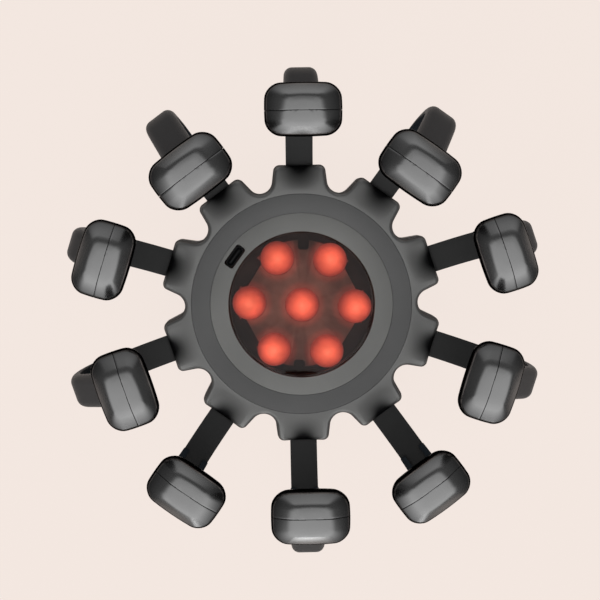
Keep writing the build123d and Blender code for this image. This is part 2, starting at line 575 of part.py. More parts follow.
def leg_solid(long, grow=0.0):
    """Outside of a leg, from its mouth on the bend to its end in the pod, grown all round."""
    path = Wire(arm_trace(0, BEND_RADIUS * radians(LEG_START), pod_length(long) - LEG_INSET))
    width = LEG_WIDTH + 2 * grow
    profile = Pos(0, (LEG_BACK - LEG_FRONT) / 2) * Rectangle(width, LEG_BACK + LEG_FRONT + 2 * grow)
    profile = fillet(profile.vertices().group_by(Axis.Y)[-1], LEG_BACK_CORNER + grow)
    profile = fillet(profile.vertices().group_by(Axis.Y)[0], LEG_FRONT_CORNER + grow)
    mouth = Plane(origin=path @ 0, x_dir=(0, -1, 0), z_dir=path % 0)
    return sweep(mouth * profile, path=path)


def mouth_taper():
    """Wedges beside a leg that narrow it towards its mouth."""
    mouth = arm_point(BEND_RADIUS * radians(LEG_START))[0]
    full = arm_point(BEND_RADIUS * radians(LEG_START + LEG_FLARE))[0]
    beside = LEG_WIDTH / 2 + CUT_OVER
    before = mouth - LEG_BACK
    corners = [(before, LEG_MOUTH_WIDTH / 2), (mouth, LEG_MOUTH_WIDTH / 2), (full, LEG_WIDTH / 2),
               (full, beside), (before, beside)]
    wedge = extrude(make_face(Polyline(*corners, close=True)), BEND_HEIGHT)
    return wedge + mirror(wedge, about=Plane.XZ)


def leg(long):
    start = BEND_RADIUS * radians(LEG_START) - CUT_OVER
    stop = pod_length(long)
    half = STRIP_THICKNESS / 2 + LEG_GAP
    body = leg_solid(long) - mouth_taper()
    body -= arm_band(-half, half, STRIP_NECK_WIDTH + 2 * LEG_GAP, start, stop)
    body -= arm_band(-LEG_FRONT - CUT_OVER, 0, LEG_WINDOW, start, stop)
    body -= arm_band(0, half + RIBBON_THICKNESS + 2 * LEG_GAP, RIBBON_WIDTH + 2 * LEG_GAP, start, stop)
    return body


# ---------------------------------------------------------------- pods, in a frame at the pod's centre
def pod_frame(long):
    x, z = arm_point(pod_length(long))
    return Pos(x, 0, z) * Rot(0, -POD_TILT, 0)


def pod_block(wall=0.0):
    """Outside of a pod, or with a wall, the hollow in it."""
    levels = [
        (POD_FOOT_PLACE, wall - POD_FOOT_DEPTH_BELOW, POD_FOOT_DEPTH, POD_FOOT_WIDTH, POD_FOOT_CORNER),
        (0.0, wall / 2 - POD_WAIST_DEPTH_BELOW, POD_WAIST_DEPTH, POD_WAIST_WIDTH, POD_CORNER),
        (0.0, 0.0, POD_DEPTH, POD_WIDTH, POD_CORNER),
        (0.0, POD_SHOULDER_HEIGHT - wall / 2, POD_SHOULDER_DEPTH, POD_SHOULDER_WIDTH, POD_SHOULDER_CORNER),
        (0.0, POD_FACE_HEIGHT - wall, POD_FACE_DEPTH, POD_FACE_WIDTH, POD_FACE_CORNER),
    ]
    sections = [
        Pos(place, 0, height)
        * RectangleRounded(depth - 2 * wall, width - 2 * wall, max(corner - wall, POD_FACE_CORNER / 2))
        for place, height, depth, width, corner in levels
    ]
    return loft(sections, ruled=True)


def pod_shell(long):
    """Both halves of a pod before they are parted, in the arm's frame."""
    hollow = pod_block(POD_WALL)
    shelf = Pos(0, 0, MOTOR_LIFT - FIT_GAP - SHELF_THICKNESS) * Box(
        POD_DEPTH, SHELF_WIDTH, SHELF_THICKNESS, align=UP)
    body = pod_block() - hollow + (shelf & hollow)
    return pod_frame(long) * body - leg_solid(long, LEG_GAP)


def pod_half(long, outer):
    size = 4 * POD_WIDTH
    side = 1 if outer else -1
    keep = Pos(side * (POD_SEAM + size) / 2 - POD_SEAM_PLACE, 0, 0) * Box(size, size, size)
    return pod_shell(long) & (pod_frame(long) * keep)


def motor(long):
    disc_body = Pos(0, 0, MOTOR_LIFT) * Cylinder(MOTOR_RADIUS, MOTOR_THICKNESS, align=UP)
    return pod_frame(long) * disc_body


# ---------------------------------------------------------------- the assembly
def node_solids():
    """Every node's name with its solid, or its list of separate solids."""
    nodes = {
        "rear_housing": rear_housing(),
        "face_cover": face_cover(),
        "trim_ring": trim_ring(),
        "lens_bezel": lens_bezel(),
        "lens": lens(),
        "lamps": lamps(),
        "reflector": reflector(),
        "lamp_board": lamp_board(),
        "main_board": main_board(),
        "battery": battery(),
        "usb_socket": usb_socket(),
        "power_button": power_button(),
        "tactile_switch": tactile_switch(),
        "clamp_ring": clamp_ring(),
        "housing_screws": screws(HOUSING_SCREWS, HOUSING_SEAT),
        "clamp_screws": screws(CLAMP_SCREWS, CLAMP_UNDER, heads_up=False),
        "lamp_board_screws": screws(LAMP_SCREWS, LAMP_BOARD_HEIGHT, heads_up=False),
        "main_board_screws": screws(MAIN_SCREWS, MAIN_BOARD_TOP),
    }
    kinds = {
        "leg": [leg(False), leg(True)],
        "pod_inner": [pod_half(False, False), pod_half(True, False)],
        "pod_outer": [pod_half(False, True), pod_half(True, True)],
        "pod_motor": [motor(False), motor(True)],
    }
    strips, ribbons = [strip(False), strip(True)], [ribbon(False), ribbon(True)]
    nodes["arm_strips"] = [Rot(0, 0, arm_angle(k)) * strips[k % 2] for k in range(ARM_COUNT)]
    nodes["arm_ribbons"] = [Rot(0, 0, arm_angle(k)) * ribbons[k % 2] for k in range(ARM_COUNT)]
    for k in range(ARM_COUNT):
        for name, pair in kinds.items():
            nodes[f"{name}_{k + 1:02d}"] = Rot(0, 0, arm_angle(k)) * pair[k % 2]
    return nodes


os.makedirs("parts", exist_ok=True)
for node_name, shape in node_solids().items():
    if isinstance(shape, list):
        shape = Compound(children=[solid for piece in shape for solid in piece.solids()])
    export_step(shape, f"parts/{node_name}.step")
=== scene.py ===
from math import atan2, ceil, cos, hypot, pi, radians, sin, sqrt
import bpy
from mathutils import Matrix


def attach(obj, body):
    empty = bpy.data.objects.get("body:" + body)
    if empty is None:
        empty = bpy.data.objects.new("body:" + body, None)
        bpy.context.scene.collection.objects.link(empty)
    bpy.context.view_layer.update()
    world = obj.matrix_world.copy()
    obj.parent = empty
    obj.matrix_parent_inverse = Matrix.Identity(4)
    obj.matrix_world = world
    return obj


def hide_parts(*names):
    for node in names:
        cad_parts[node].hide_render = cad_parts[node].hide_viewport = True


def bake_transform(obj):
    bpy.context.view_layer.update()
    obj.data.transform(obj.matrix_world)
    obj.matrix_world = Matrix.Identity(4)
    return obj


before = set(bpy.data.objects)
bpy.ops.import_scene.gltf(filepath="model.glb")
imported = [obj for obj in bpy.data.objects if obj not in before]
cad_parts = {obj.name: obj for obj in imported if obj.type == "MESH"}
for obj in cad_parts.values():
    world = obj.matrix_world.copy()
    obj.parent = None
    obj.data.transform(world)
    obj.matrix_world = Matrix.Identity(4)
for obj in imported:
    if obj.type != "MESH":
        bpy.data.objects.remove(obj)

from types import SimpleNamespace

import bmesh
import bpy
from bpy.props import FloatProperty, FloatVectorProperty, PointerProperty
from mathutils import Matrix, Vector

bl_info = {
    "name": "Scalp massager",
    "version": (1, 0, 0),
    "blender": (4, 5, 0),
    "location": "View3D > Sidebar > Massager",
    "description": "Dresses an electric scalp massager: lobed hub, lit window, sprung arms and glossy pods",
    "category": "Object",
}

MM = 0.001
ARMS = [f"{k + 1:02d}" for k in range(10)]
PITCH = 2 * pi / len(ARMS)
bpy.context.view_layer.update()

# in millimetres
FIT_GAP = 0.1        # between pieces that fit together
CUT_OVER = 1.0       # how far a cutter reaches past what it cuts
HAIR = 0.02          # too little to see, but enough to keep two edges apart
BACK_ROUND = 3.0     # rounding of the domed back's two kinks
BEND_STEP = 2.0      # between an arm's sections on its bend
STRAIGHT_STEP = 5.0  # between an arm's sections on its straight stretches


def linear(text):
    """sRGB hex to a linear colour with alpha."""
    parts = [int(text[i:i + 2], 16) / 255 for i in (1, 3, 5)]
    return [c / 12.92 if c <= 0.04045 else ((c + 0.055) / 1.055) ** 2.4 for c in parts] + [1.0]


# ---------------------------------------------------------------- sizes and colours
def length(label, millimetres, note):
    return FloatProperty(name=label, description=note, default=millimetres * MM, unit="LENGTH")


def angle(label, degrees, note):
    return FloatProperty(name=label, description=note, default=radians(degrees), subtype="ANGLE")


def colour(label, text, note):
    return FloatVectorProperty(name=label, description=note, default=linear(text), size=4,
                               subtype="COLOR", min=0.0, max=1.0)


def strength(label, default, note):
    return FloatProperty(name=label, description=note, default=default, min=0.0)


def share(label, default, note):
    return FloatProperty(name=label, description=note, default=default, subtype="FACTOR")


class HubSizes(bpy.types.PropertyGroup):
    height: length("Height", 27.0, "Flat back to the trim ring's face")
    parting: length("Parting", 21.5, "Height where the two shells meet")
    tip_radius: length("Lobe tip", 55.6, "Axis to the end of a lobe")
    tip_width: length("Lobe width", 20.4, "Width of a lobe at its tip")
    flare: angle("Lobe flare", 7.0, "Each flank to the lobe's centre line")
    corner: length("Lobe corner", 2.6, "Rounding of a lobe's corners")
    notch_floor: length("Notch floor", 46.8, "Axis to the floor of a notch")
    face_inset: length("Face inset", 0.25, "Face cover's outline inside the rear housing's")
    face_round: length("Face edge", 1.6, "Rounding of the face cover's edge")
    tip_drop: length("Tip drop", 1.3, "Fall of the face from the trim ring to a lobe tip")
    rim_radius: length("Rim", 44.1, "Inner edge of the sloping skirt")
    seat: length("Seat", 25.4, "Height of the ledge under trim ring and bezel")
    plate: length("Face plate", 2.0, "Thickness under that ledge")
    scoop_width: length("Scoop width", 11.4, "Valley over a strip, at the lobe's tip")
    scoop_depth: length("Scoop depth", 1.3, "Valley over a strip, at the lobe's tip")
    scoop_start: length("Scoop start", 45.0, "Axis to where the valley begins")
    mouth_half: length("Mouth half width", 5.7, "Half the mouth that a strip leaves by")
    mouth_top: length("Mouth top", 22.8, "Height of the mouth's roof")
    mouth_floor: length("Mouth floor", 20.7, "Height of the mouth's floor")
    wall: length("Rear wall", 2.2, "Wall of the rear housing")
    back_flat: length("Back flat", 31.0, "Radius of the flat back")
    back_shoulder: length("Back shoulder", 45.0, "Radius where the domed back steepens")
    shoulder_height: length("Shoulder height", 3.4, "Height of that shoulder")
    back_side: length("Back side", 12.0, "Height where the domed back reaches the lobe tips")
    button_radius: length("Button", 12.0, "Radius of the power button")
    button_gap: length("Button gap", 0.25, "Gap round the button")
    button_sink: length("Button sink", 0.5, "Button's face inside the flat back")
    button_dish: length("Button dish", 0.7, "Hollow in the button's face")


class WindowSizes(bpy.types.PropertyGroup):
    trim_inner: length("Trim inner", 36.5, "Inner radius of the trim ring")
    trim_outer: length("Trim outer", 44.0, "Outer radius of the trim ring")
    bezel_inner: length("Bezel inner", 29.2, "Inner radius of the bezel")
    bezel_outer: length("Bezel outer", 36.4, "Outer radius of the bezel")
    bezel_rise: length("Bezel rise", 1.2, "Climb of the bezel to the lens")
    lens_radius: length("Lens", 29.1, "Radius of the lens")
    lens_ledge: length("Lens ledge", 0.8, "Width of the lens's thick rim")
    lens_crown: length("Lens crown", 1.4, "Height of the lens's dome")
    lens_wall: length("Lens wall", 1.5, "Thickness of the lens")
    lamp_radius: length("Lamp", 6.8, "Radius of a lamp")
    lamp_base: length("Lamp base", 1.4, "Straight part of a lamp")
    lamp_ring: length("Lamp ring", 21.3, "Axis to an outer lamp")
    lamp_turn: angle("Lamp turn", -2.8, "First outer lamp from +X")
    lamp_right: length("Lamp right", 0.3, "Middle lamp beside the axis, along X")
    lamp_shift: length("Lamp shift", -0.6, "Middle lamp beside the axis, along Y")
    lamp_seat: length("Lamp seat", 19.0, "Height of the lamp board's face")
    plate_radius: length("Reflector", 25.6, "Radius of the reflector plate")
    plate_thickness: length("Reflector thickness", 1.2, "Thickness of the plate")
    notch_width: length("Reflector notch", 13.0, "Width of the gaps at the plate's edge")
    slot_width: length("Reflector slot", 4.4, "Width of the two gaps at front and back")
    notch_depth: length("Reflector notch depth", 3.3, "Depth of those gaps")
    lamp_gap: length("Lamp gap", 0.1, "Gap round a lamp in the plate")
    # width of the painted glow of the plate round a lamp
    painted_halo: length("Halo", 3.4, "Width of the red glow round a lamp")
    port_radius: length("Port place", 32.8, "Axis to the charging port")
    port_angle: angle("Port angle", 143.3, "Charging port from +X")
    port_length: length("Port length", 9.7, "Length of the port")
    port_width: length("Port width", 4.2, "Width of the port")
    port_corner: length("Port corner", 1.1, "Rounding of the port")
    socket_length: length("Socket length", 8.94, "Length of the socket's shell")
    socket_width: length("Socket width", 3.26, "Width of the socket's shell")
    socket_sink: length("Socket sink", 1.0, "Socket's mouth below the bezel's face")


class ArmSizes(bpy.types.PropertyGroup):
    strip_width: length("Strip width", 10.8, "Width of a spring strip")
    strip_thickness: length("Strip thickness", 0.8, "Thickness of a spring strip")
    strip_root: length("Strip root", 43.6, "Axis to the strip's inner end")
    ribbon_width: length("Ribbon width", 3.2, "Width of the flat cable")
    ribbon_thickness: length("Ribbon thickness", 0.3, "Thickness of the flat cable")
    ribbon_root: length("Ribbon root", 37.0, "Axis to the cable's inner end")
    bend_start: length("Bend start", 50.0, "Axis to where the strip starts to curve")
    bend_radius: length("Bend radius", 37.1, "Radius of the strip's curve")
    strip_neck: length("Strip neck", 8.8, "Width of the strip inside the leg")
    shoulder_gap: length("Shoulder gap", 0.1, "Strip's shoulder to the leg's mouth")
    lean: angle("Lean", 27.0, "How far the straight leg leans in")
    leg_start: angle("Leg start", 40.0, "Mouth of the leg round the bend")
    leg_flare: angle("Leg flare", 24.0, "From the mouth to where the leg has its full width")
    leg_mouth: length("Leg mouth", 11.3, "Width of the leg at its mouth")
    short_leg: length("Short leg", 23.6, "Bend's end to the pod's centre, odd arms")
    long_leg: length("Long leg", 42.4, "Bend's end to the pod's centre, even arms")
    leg_inset: length("Leg inset", 4.6, "Leg's end below the pod's centre")
    leg_width: length("Leg width", 12.2, "Width of a leg")
    leg_back: length("Leg back", 2.99, "Strip's middle to the leg's back")
    leg_front: length("Leg front", 1.3, "Strip's middle to the leg's front")
    leg_back_corner: length("Leg back corner", 3.0, "Rounding of the leg's back corners")
    leg_front_corner: length("Leg front corner", 0.6, "Rounding of the leg's front corners")
    leg_window: length("Leg window", 6.6, "Opening between the lips that hold the strip")
    leg_gap: length("Leg gap", 0.1, "Gap round the strip in the leg")


class PodSizes(bpy.types.PropertyGroup):
    tilt: angle("Tilt", 2.0, "Lean of the pod's axis towards the hub's")
    width: length("Width", 26.8, "Tangential size")
    depth: length("Depth", 18.7, "Radial size")
    corner: length("Corner", 5.2, "Rounding of the upright corners")
    bow: length("Bow", 0.6, "How far the walls stand proud between their corners")
    droop: length("Droop", 1.0, "Fall of the upper part towards its tangential ends")
    sag: length("Sag", 0.5, "Fall of the upper part towards its radial ends")
    shoulder_height: length("Shoulder height", 3.6, "Shoulder above the widest section")
    shoulder_width: length("Shoulder width", 25.7, "Tangential size at the shoulder")
    shoulder_depth: length("Shoulder depth", 17.5, "Radial size at the shoulder")
    shoulder_corner: length("Shoulder corner", 4.8, "Rounding of the shoulder's corners")
    face_height: length("Face height", 6.6, "Contact face above the widest section")
    face_width: length("Face width", 13.6, "Tangential size of the contact face")
    face_depth: length("Face depth", 10.2, "Radial size of the contact face")
    face_corner: length("Face corner", 1.4, "Rounding of the contact face's corners")
    waist_below: length("Waist", 5.0, "Waist below the widest section")
    waist_width: length("Waist width", 25.6, "Tangential size at the waist")
    waist_depth: length("Waist depth", 17.4, "Radial size at the waist")
    foot_below: length("Foot", 10.0, "Foot below the widest section")
    foot_place: length("Foot place", 2.7, "Foot's middle outside the pod's")
    foot_width: length("Foot width", 18.0, "Tangential size of the foot")
    foot_depth: length("Foot depth", 12.2, "Radial size of the foot")
    foot_corner: length("Foot corner", 3.4, "Rounding of the foot's corners")
    seam_place: length("Seam place", 0.4, "Seam inside the pod's middle")
    seam_gap: length("Seam gap", 0.2, "Width of the seam")
    lip_share: share("Lip", 0.96, "Size of the lip inside the seam, as a share of the pod's")
    leg_gap: length("Leg gap", 0.15, "Gap between the pod and the leg")


class Finishes(bpy.types.PropertyGroup):
    shell: colour("Shell", "#7C7C7B", "Satin lacquer of the face cover")
    # painted shade: a darker copy of the face cover's lacquer, for the rear housing
    back: colour("Back", "#565656", "Satin lacquer of the rear housing")
    # painted shade: the colour the shells darken to in the valleys over the strips and down their edge
    hollow: colour("Hollow", "#141415", "The shells where they close round a strip")
    trim: colour("Trim", "#4E4E4E", "Trim ring")
    bezel: colour("Bezel", "#6C6C6A", "Bezel round the lens")
    lens: colour("Lens", "#D2C6C2", "Smoke tint of the lens, at each of its two faces")
    lamp: colour("Lamp", "#FF8468", "Lamp at its middle")
    lamp_edge: colour("Lamp edge", "#BD5141", "Lamp towards its edge")
    plate: colour("Plate", "#C8B1A6", "Reflector plate")
    # painted shade of the reflector plate towards its edge
    plate_edge_shade: colour("Plate edge", "#8A7871", "Reflector plate at its edge")
    # painted light: the red glow of the lamps on the plate
    painted_halo: colour("Halo", "#802C24", "Glow of the plate beside a lamp")
    strip: colour("Strip", "#282828", "Coating of the spring strips")
    leg: colour("Leg", "#282D32", "Moulded legs")
    pod: colour("Pod", "#8E8E8E", "Metallic pigment of the pods")
    # painted shade of the pods below their shoulder, also the dark colour of their seam
    pod_rim_shade: colour("Pod rim", "#3A3A3B", "The pods below their widest section")
    floor: colour("Floor", "#F3E7E0", "Floor and backdrop")


class StageSizes(bpy.types.PropertyGroup):
    distance: length("Camera distance", 496.9, "Camera to the trim ring's centre")
    pitch: angle("Camera pitch", 4.69, "Turn of the object about the frame's horizontal")
    yaw: angle("Camera yaw", 1.27, "Turn of the object about the frame's vertical")
    roll: angle("Camera roll", 0.89, "Turn of the object about the line of sight")
    right: length("Object right", 0.67, "Object to the right of the line of sight")
    up: length("Object up", -1.80, "Object above the line of sight")
    ring_share: share("Ring", 110.31 / 600, "Trim ring's radius as a share of the frame's width")
    floor_size: length("Floor size", 40000.0, "Side of the floor")
    dim: strength("Dim sky", 0.12, "Strength of the dome between its panels")
    panel: strength("Panel", 0.72, "Strength of the overhead panel")
    panel_slope: strength("Panel slope", 0.7, "Gain of the panel towards the front")
    low_panel: strength("Low panel", 0.5, "Strength of the panel low behind")
    front_panel: strength("Front panel", 4.0, "Strength of the panel low in front")
    key: strength("Key lamp", 5.0, "Power of the key lamp in watts")
    fill: strength("Fill lamp", 3.0, "Power of the fill lamp in watts")
    own_light: share("Floor's own light", 0.965, "The floor's brightness that no shadow takes away")


GROUPS = {"hub": HubSizes, "window": WindowSizes, "arm": ArmSizes, "pod": PodSizes, "finish": Finishes,
          "stage": StageSizes}


def settings(name):
    """A group's values, with lengths in millimetres."""
    group = getattr(bpy.context.scene, "massager_" + name)
    values = SimpleNamespace()
    for key, prop in group.bl_rna.properties.items():
        if key in group.__annotations__:
            value = getattr(group, key)
            in_millimetres = prop.type == "FLOAT" and prop.unit == "LENGTH"
            setattr(values, key, value / MM if in_millimetres else value)
    return values


# ---------------------------------------------------------------- modelling helpers
def clamped(value):
    return min(max(value, 0.0), 1.0)


def spaced(first, last, steps):
    """Values in equal steps from first to last, with both ends."""
    return [first + (last - first) * i / steps for i in range(steps + 1)]


def only(piece):
    """Selects a piece alone and makes it active."""
    bpy.ops.object.select_all(action="DESELECT")
    piece.select_set(True)
    bpy.context.view_layer.objects.active = piece


def new_circle(name, count):
    """Circle primitive, alone in the selection and open for editing."""
    bpy.ops.object.select_all(action="DESELECT")
    bpy.ops.mesh.primitive_circle_add(vertices=count, radius=1.0)
    piece = bpy.context.object
    piece.name = piece.data.name = name
    bpy.ops.object.mode_set(mode="EDIT")
    bpy.ops.mesh.select_mode(type="EDGE")
    return piece


def closed_up(piece):
    """Merges doubles, turns the faces outwards and leaves edit mode."""
    bpy.ops.mesh.select_all(action="SELECT")
    bpy.ops.mesh.remove_doubles(threshold=0.002 * MM)
    bpy.ops.mesh.normals_make_consistent(inside=False)
    bpy.ops.object.mode_set(mode="OBJECT")
    return piece


def stacked(name, loops, closed=False):
    """Piece drawn through loops of points in millimetres: a circle is laid on the first loop, then extruded
    onto each of the others, and both ends are filled. With closed, the last loop is extruded back onto the
    first instead."""
    piece = new_circle(name, len(loops[0]))
    mesh = bmesh.from_edit_mesh(piece.data)
    column = mesh.verts.layers.int.new("column")
    for index, vertex in enumerate(mesh.verts):
        vertex[column] = index

    def lay(points):
        mesh = bmesh.from_edit_mesh(piece.data)
        column = mesh.verts.layers.int["column"]
        for vertex in mesh.verts:
            if vertex.select:
                vertex.co = Vector(points[vertex[column]]) * MM
        bmesh.update_edit_mesh(piece.data)

    lay(loops[0])
    if not closed:
        bpy.ops.mesh.edge_face_add()
    for points in loops[1:] + ([loops[0]] if closed else []):
        bpy.ops.mesh.extrude_edges_move()
        lay(points)
    if not closed:
        bpy.ops.mesh.edge_face_add()
    closed_up(piece)
    piece.data.attributes.remove(piece.data.attributes["column"])
    return piece


def spun(name, profile, steps=160):
    """Piece of revolution about the hub's axis from a closed profile of (radius, height) points."""
    piece = new_circle(name, len(profile))
    mesh = bmesh.from_edit_mesh(piece.data)
    for vertex, (radius, height) in zip(mesh.verts, profile):
        vertex.co = Vector((radius, 0, height)) * MM
    bmesh.update_edit_mesh(piece.data)
    bpy.ops.mesh.spin(steps=steps, angle=2 * pi, center=(0, 0, 0), axis=(0, 0, 1))
    return closed_up(piece)


def modify(piece, kind, **options):
    """Adds a modifier with its options and applies it."""
    only(piece)
    modifier = piece.modifiers.new(kind.title(), kind)
    for key, value in options.items():
        setattr(modifier, key, value)
    bpy.ops.object.modifier_apply(modifier=modifier.name)


def soften(piece, width, segments=3, above=25):
    """Rounds the edges that turn by more than an angle in degrees."""
    modify(piece, "BEVEL", width=width * MM, segments=segments, limit_method="ANGLE",
           angle_limit=radians(above))


def smooth(piece, degrees=32):
    """Shades a piece smooth, apart from the edges that turn by more than an angle in degrees."""
    only(piece)
    bpy.ops.object.shade_smooth_by_angle(angle=radians(degrees))


def cut(piece, cutter):
    """Takes a cutter out of a piece and deletes the cutter."""
    modify(piece, "BOOLEAN", object=cutter, operation="DIFFERENCE", solver="EXACT")
    bpy.data.objects.remove(cutter)


def join(piece, other):
    """Makes another piece a part of this one."""
    only(piece)
    other.select_set(True)
    bpy.ops.object.join()


def mark(piece, name, value):
    """Gives a piece an attribute that its material reads, from a function of its vertices."""
    attribute = piece.data.attributes.new(name, "FLOAT", "POINT")
    for vertex in piece.data.vertices:
        attribute.data[vertex.index].value = value(vertex)


def sliced(piece, place, side):
    """Cuts a piece by the plane at a place on X: what lies on one side (-1 or 1) stays, and is closed."""
    only(piece)
    bpy.ops.object.mode_set(mode="EDIT")
    bpy.ops.mesh.select_all(action="SELECT")
    bpy.ops.mesh.bisect(plane_co=(place * MM, 0, 0), plane_no=(1, 0, 0), use_fill=True,
                        clear_inner=side > 0, clear_outer=side < 0)
    return closed_up(piece)


def moved(piece, matrix):
    piece.data.transform(matrix)
    piece.data.update()
    return piece


def copied(piece, name, matrix):
    """Copy with a mesh of its own, moved by a matrix."""
    twin = piece.copy()
    twin.data = piece.data.copy()
    twin.name = twin.data.name = name
    bpy.context.collection.objects.link(twin)
    return moved(twin, matrix)


def placed(x=0.0, y=0.0, z=0.0):
    return Matrix.Translation(Vector((x, y, z)) * MM)


def turned(radians_round):
    return Matrix.Rotation(radians_round, 4, "Z")


def arm_turn(k):
    """Turn that brings what is drawn along +X to an arm's place."""
    return turned(pi / 2 + PITCH * k)


def coat(piece, material):
    piece.data.materials.clear()
    piece.data.materials.append(material)


def dress(piece, material, slot, body, *nodes):
    """Gives a piece its material, the body it rides on and the nodes it stands for. The slot is not used."""
    coat(piece, material)
    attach(piece, body)
    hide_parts(*nodes)


def rounded(length, width, corner, height, bow=0.0, corner_steps=8, side_steps=6):
    """Loop of a rounded rectangle about the origin. With a bow, its corners are drawn in by that much."""
    half_length, half_width = length / 2, width / 2
    points = []
    for turn, side_x, side_y in ((0, 1, 1), (1, -1, 1), (2, -1, -1), (3, 1, -1)):
        middle = (side_x * (half_length - corner), side_y * (half_width - corner))
        for i in range(corner_steps + 1):
            a = pi / 2 * (turn + i / corner_steps)
            points.append((middle[0] + corner * cos(a), middle[1] + corner * sin(a)))
    looped = []
    for i, point in enumerate(points):
        looped.append(point)
        if i % (corner_steps + 1) == corner_steps:
            after = points[(i + 1) % len(points)]
            for j in range(1, side_steps):
                share = j / side_steps
                looped.append(tuple(p + (q - p) * share for p, q in zip(point, after)))
    return [(x * (1 - bow / half_length * (y / half_width) ** 2),
             y * (1 - bow / half_width * (x / half_length) ** 2), height) for x, y in looped]


# ---------------------------------------------------------------- materials
def tinted(colour, share):
    """Linear colour, lighter or darker by a share."""
    return [min(1.0, c * share) for c in colour[:3]] + [1.0]


def add(material, kind, values=None, links=None, stops=(), **options):
    """Adds a node with its options, its input values, its links (input: (node, output)) and, for a colour
    ramp, its stops (position, colour)."""
    node = material.node_tree.nodes.new(kind)
    for key, value in options.items():
        setattr(node, key, value)
    for key, value in (values or {}).items():
        node.inputs[key].default_value = value
    for key, (source, output) in (links or {}).items():
        material.node_tree.links.new(source.outputs[output], node.inputs[key])
    if stops:
        elements = node.color_ramp.elements
        while len(elements) < len(stops):
            elements.new(0.5)
        for element, (position, value) in zip(elements, stops):
            element.position = position
            element.color = value
    return node


def new_material(name):
    material = bpy.data.materials.new(name)
    material.use_nodes = True
    material.node_tree.nodes.clear()
    return material


def per_metre(millimetres):
    """Noise scale whose features have that size."""
    return 1.0 / (millimetres * MM)


def moulded(name, colour, roughness, grain, depth, shade=None, shade_colour=None, **shader):
    """Moulded or coated surface: an even colour with faint clouds, and a grain that breaks up its gloss. The
    grain's size and depth are in millimetres. With shade, the piece's attribute of that name paints shade
    into its colour, turning it to the shade colour."""
    cloud_size = 22.0
    m = new_material(name)
    place = add(m, "ShaderNodeTexCoord")
    clouds = add(m, "ShaderNodeTexNoise", {"Scale": per_metre(cloud_size), "Detail": 3.0, "Roughness": 0.6},
                 {"Vector": (place, "Object")})
    grains = add(m, "ShaderNodeTexNoise", {"Scale": per_metre(grain), "Detail": 4.0, "Roughness": 0.55},
                 {"Vector": (place, "Object")})
    tone = add(m, "ShaderNodeValToRGB", None, {"Fac": (clouds, "Fac")},
               [(0.3, tinted(colour, 0.94)), (0.7, tinted(colour, 1.06))])
    if shade:
        # painted shade: how far the piece's attribute turns the colour to the shade colour
        shade_amount = add(m, "ShaderNodeAttribute", attribute_name=shade, attribute_type="GEOMETRY")
        tone = add(m, "ShaderNodeMixRGB", {"Color2": shade_colour},
                   {"Fac": (shade_amount, "Fac"), "Color1": (tone, "Color")})
    gloss = add(m, "ShaderNodeMapRange", {"From Min": 0.3, "From Max": 0.7, "To Min": roughness * 0.93,
                                          "To Max": roughness * 1.07}, {"Value": (grains, "Fac")})
    bump = add(m, "ShaderNodeBump", {"Strength": 0.5, "Distance": depth * MM}, {"Height": (grains, "Fac")})
    body = add(m, "ShaderNodeBsdfPrincipled", shader,
               {"Base Color": (tone, "Color"), "Roughness": (gloss, "Result"), "Normal": (bump, "Normal")})
    add(m, "ShaderNodeOutputMaterial", links={"Surface": (body, "BSDF")})
    return m


def shell_plastic(name, colour):
    # ABS under a satin metallic lacquer: soft broad highlights that fade quickly as the surface turns away
    # the attribute it reads paints shade into the colour in the valleys over the strips and down the edge
    return moulded(name, colour, roughness=0.34, grain=0.35, depth=0.012, shade="hollow",
                   shade_colour=settings("finish").hollow,
                   **{"Metallic": 0.75, "Specular Tint": linear("#3C3C3E")})


def trim_plastic():
    # bare satin ABS, smooth on the trim ring's flat face
    return moulded("Satin_ABS_trim", settings("finish").trim, roughness=0.45, grain=0.3, depth=0.012,
                   IOR=1.53)


def bezel_plastic():
    # lighter grey ABS with a fine matt grain
    return moulded("Satin_ABS_bezel", settings("finish").bezel, roughness=0.48, grain=0.3, depth=0.012,
                   IOR=1.53)


def pod_plastic():
    # gunmetal-lacquered ABS: clear soft-edged reflections, and painted shade that darkens it towards the rims
    finish = settings("finish")
    return moulded("Gunmetal_lacquered_ABS", finish.pod, roughness=0.25, grain=0.5, depth=0.0004,
                   shade="rim", shade_colour=finish.pod_rim_shade,
                   **{"Metallic": 1.0, "Specular Tint": linear("#101010")})


def leg_plastic():
    # black ABS with a satin face: one broad, weak reflection along the back of each leg
    return moulded("Satin_black_ABS_leg", settings("finish").leg, roughness=0.38, grain=0.5, depth=0.003,
                   **{"Metallic": 0.55, "Specular IOR Level": 0.2, "Specular Tint": linear("#606060")})


def strip_coating():
    # spring steel with a matt black coating: nearly no gloss, a fine powdery grain
    return moulded("Matt_coated_spring_steel", settings("finish").strip, roughness=0.6, grain=0.4,
                   depth=0.012, **{"IOR": 1.5, "Specular IOR Level": 0.2})


def ribbon_film():
    # polyimide film of the flat cable: dark amber with a low gloss
    return moulded("Polyimide_film", linear("#2A1E14"), roughness=0.38, grain=0.8, depth=0.01, IOR=1.7)


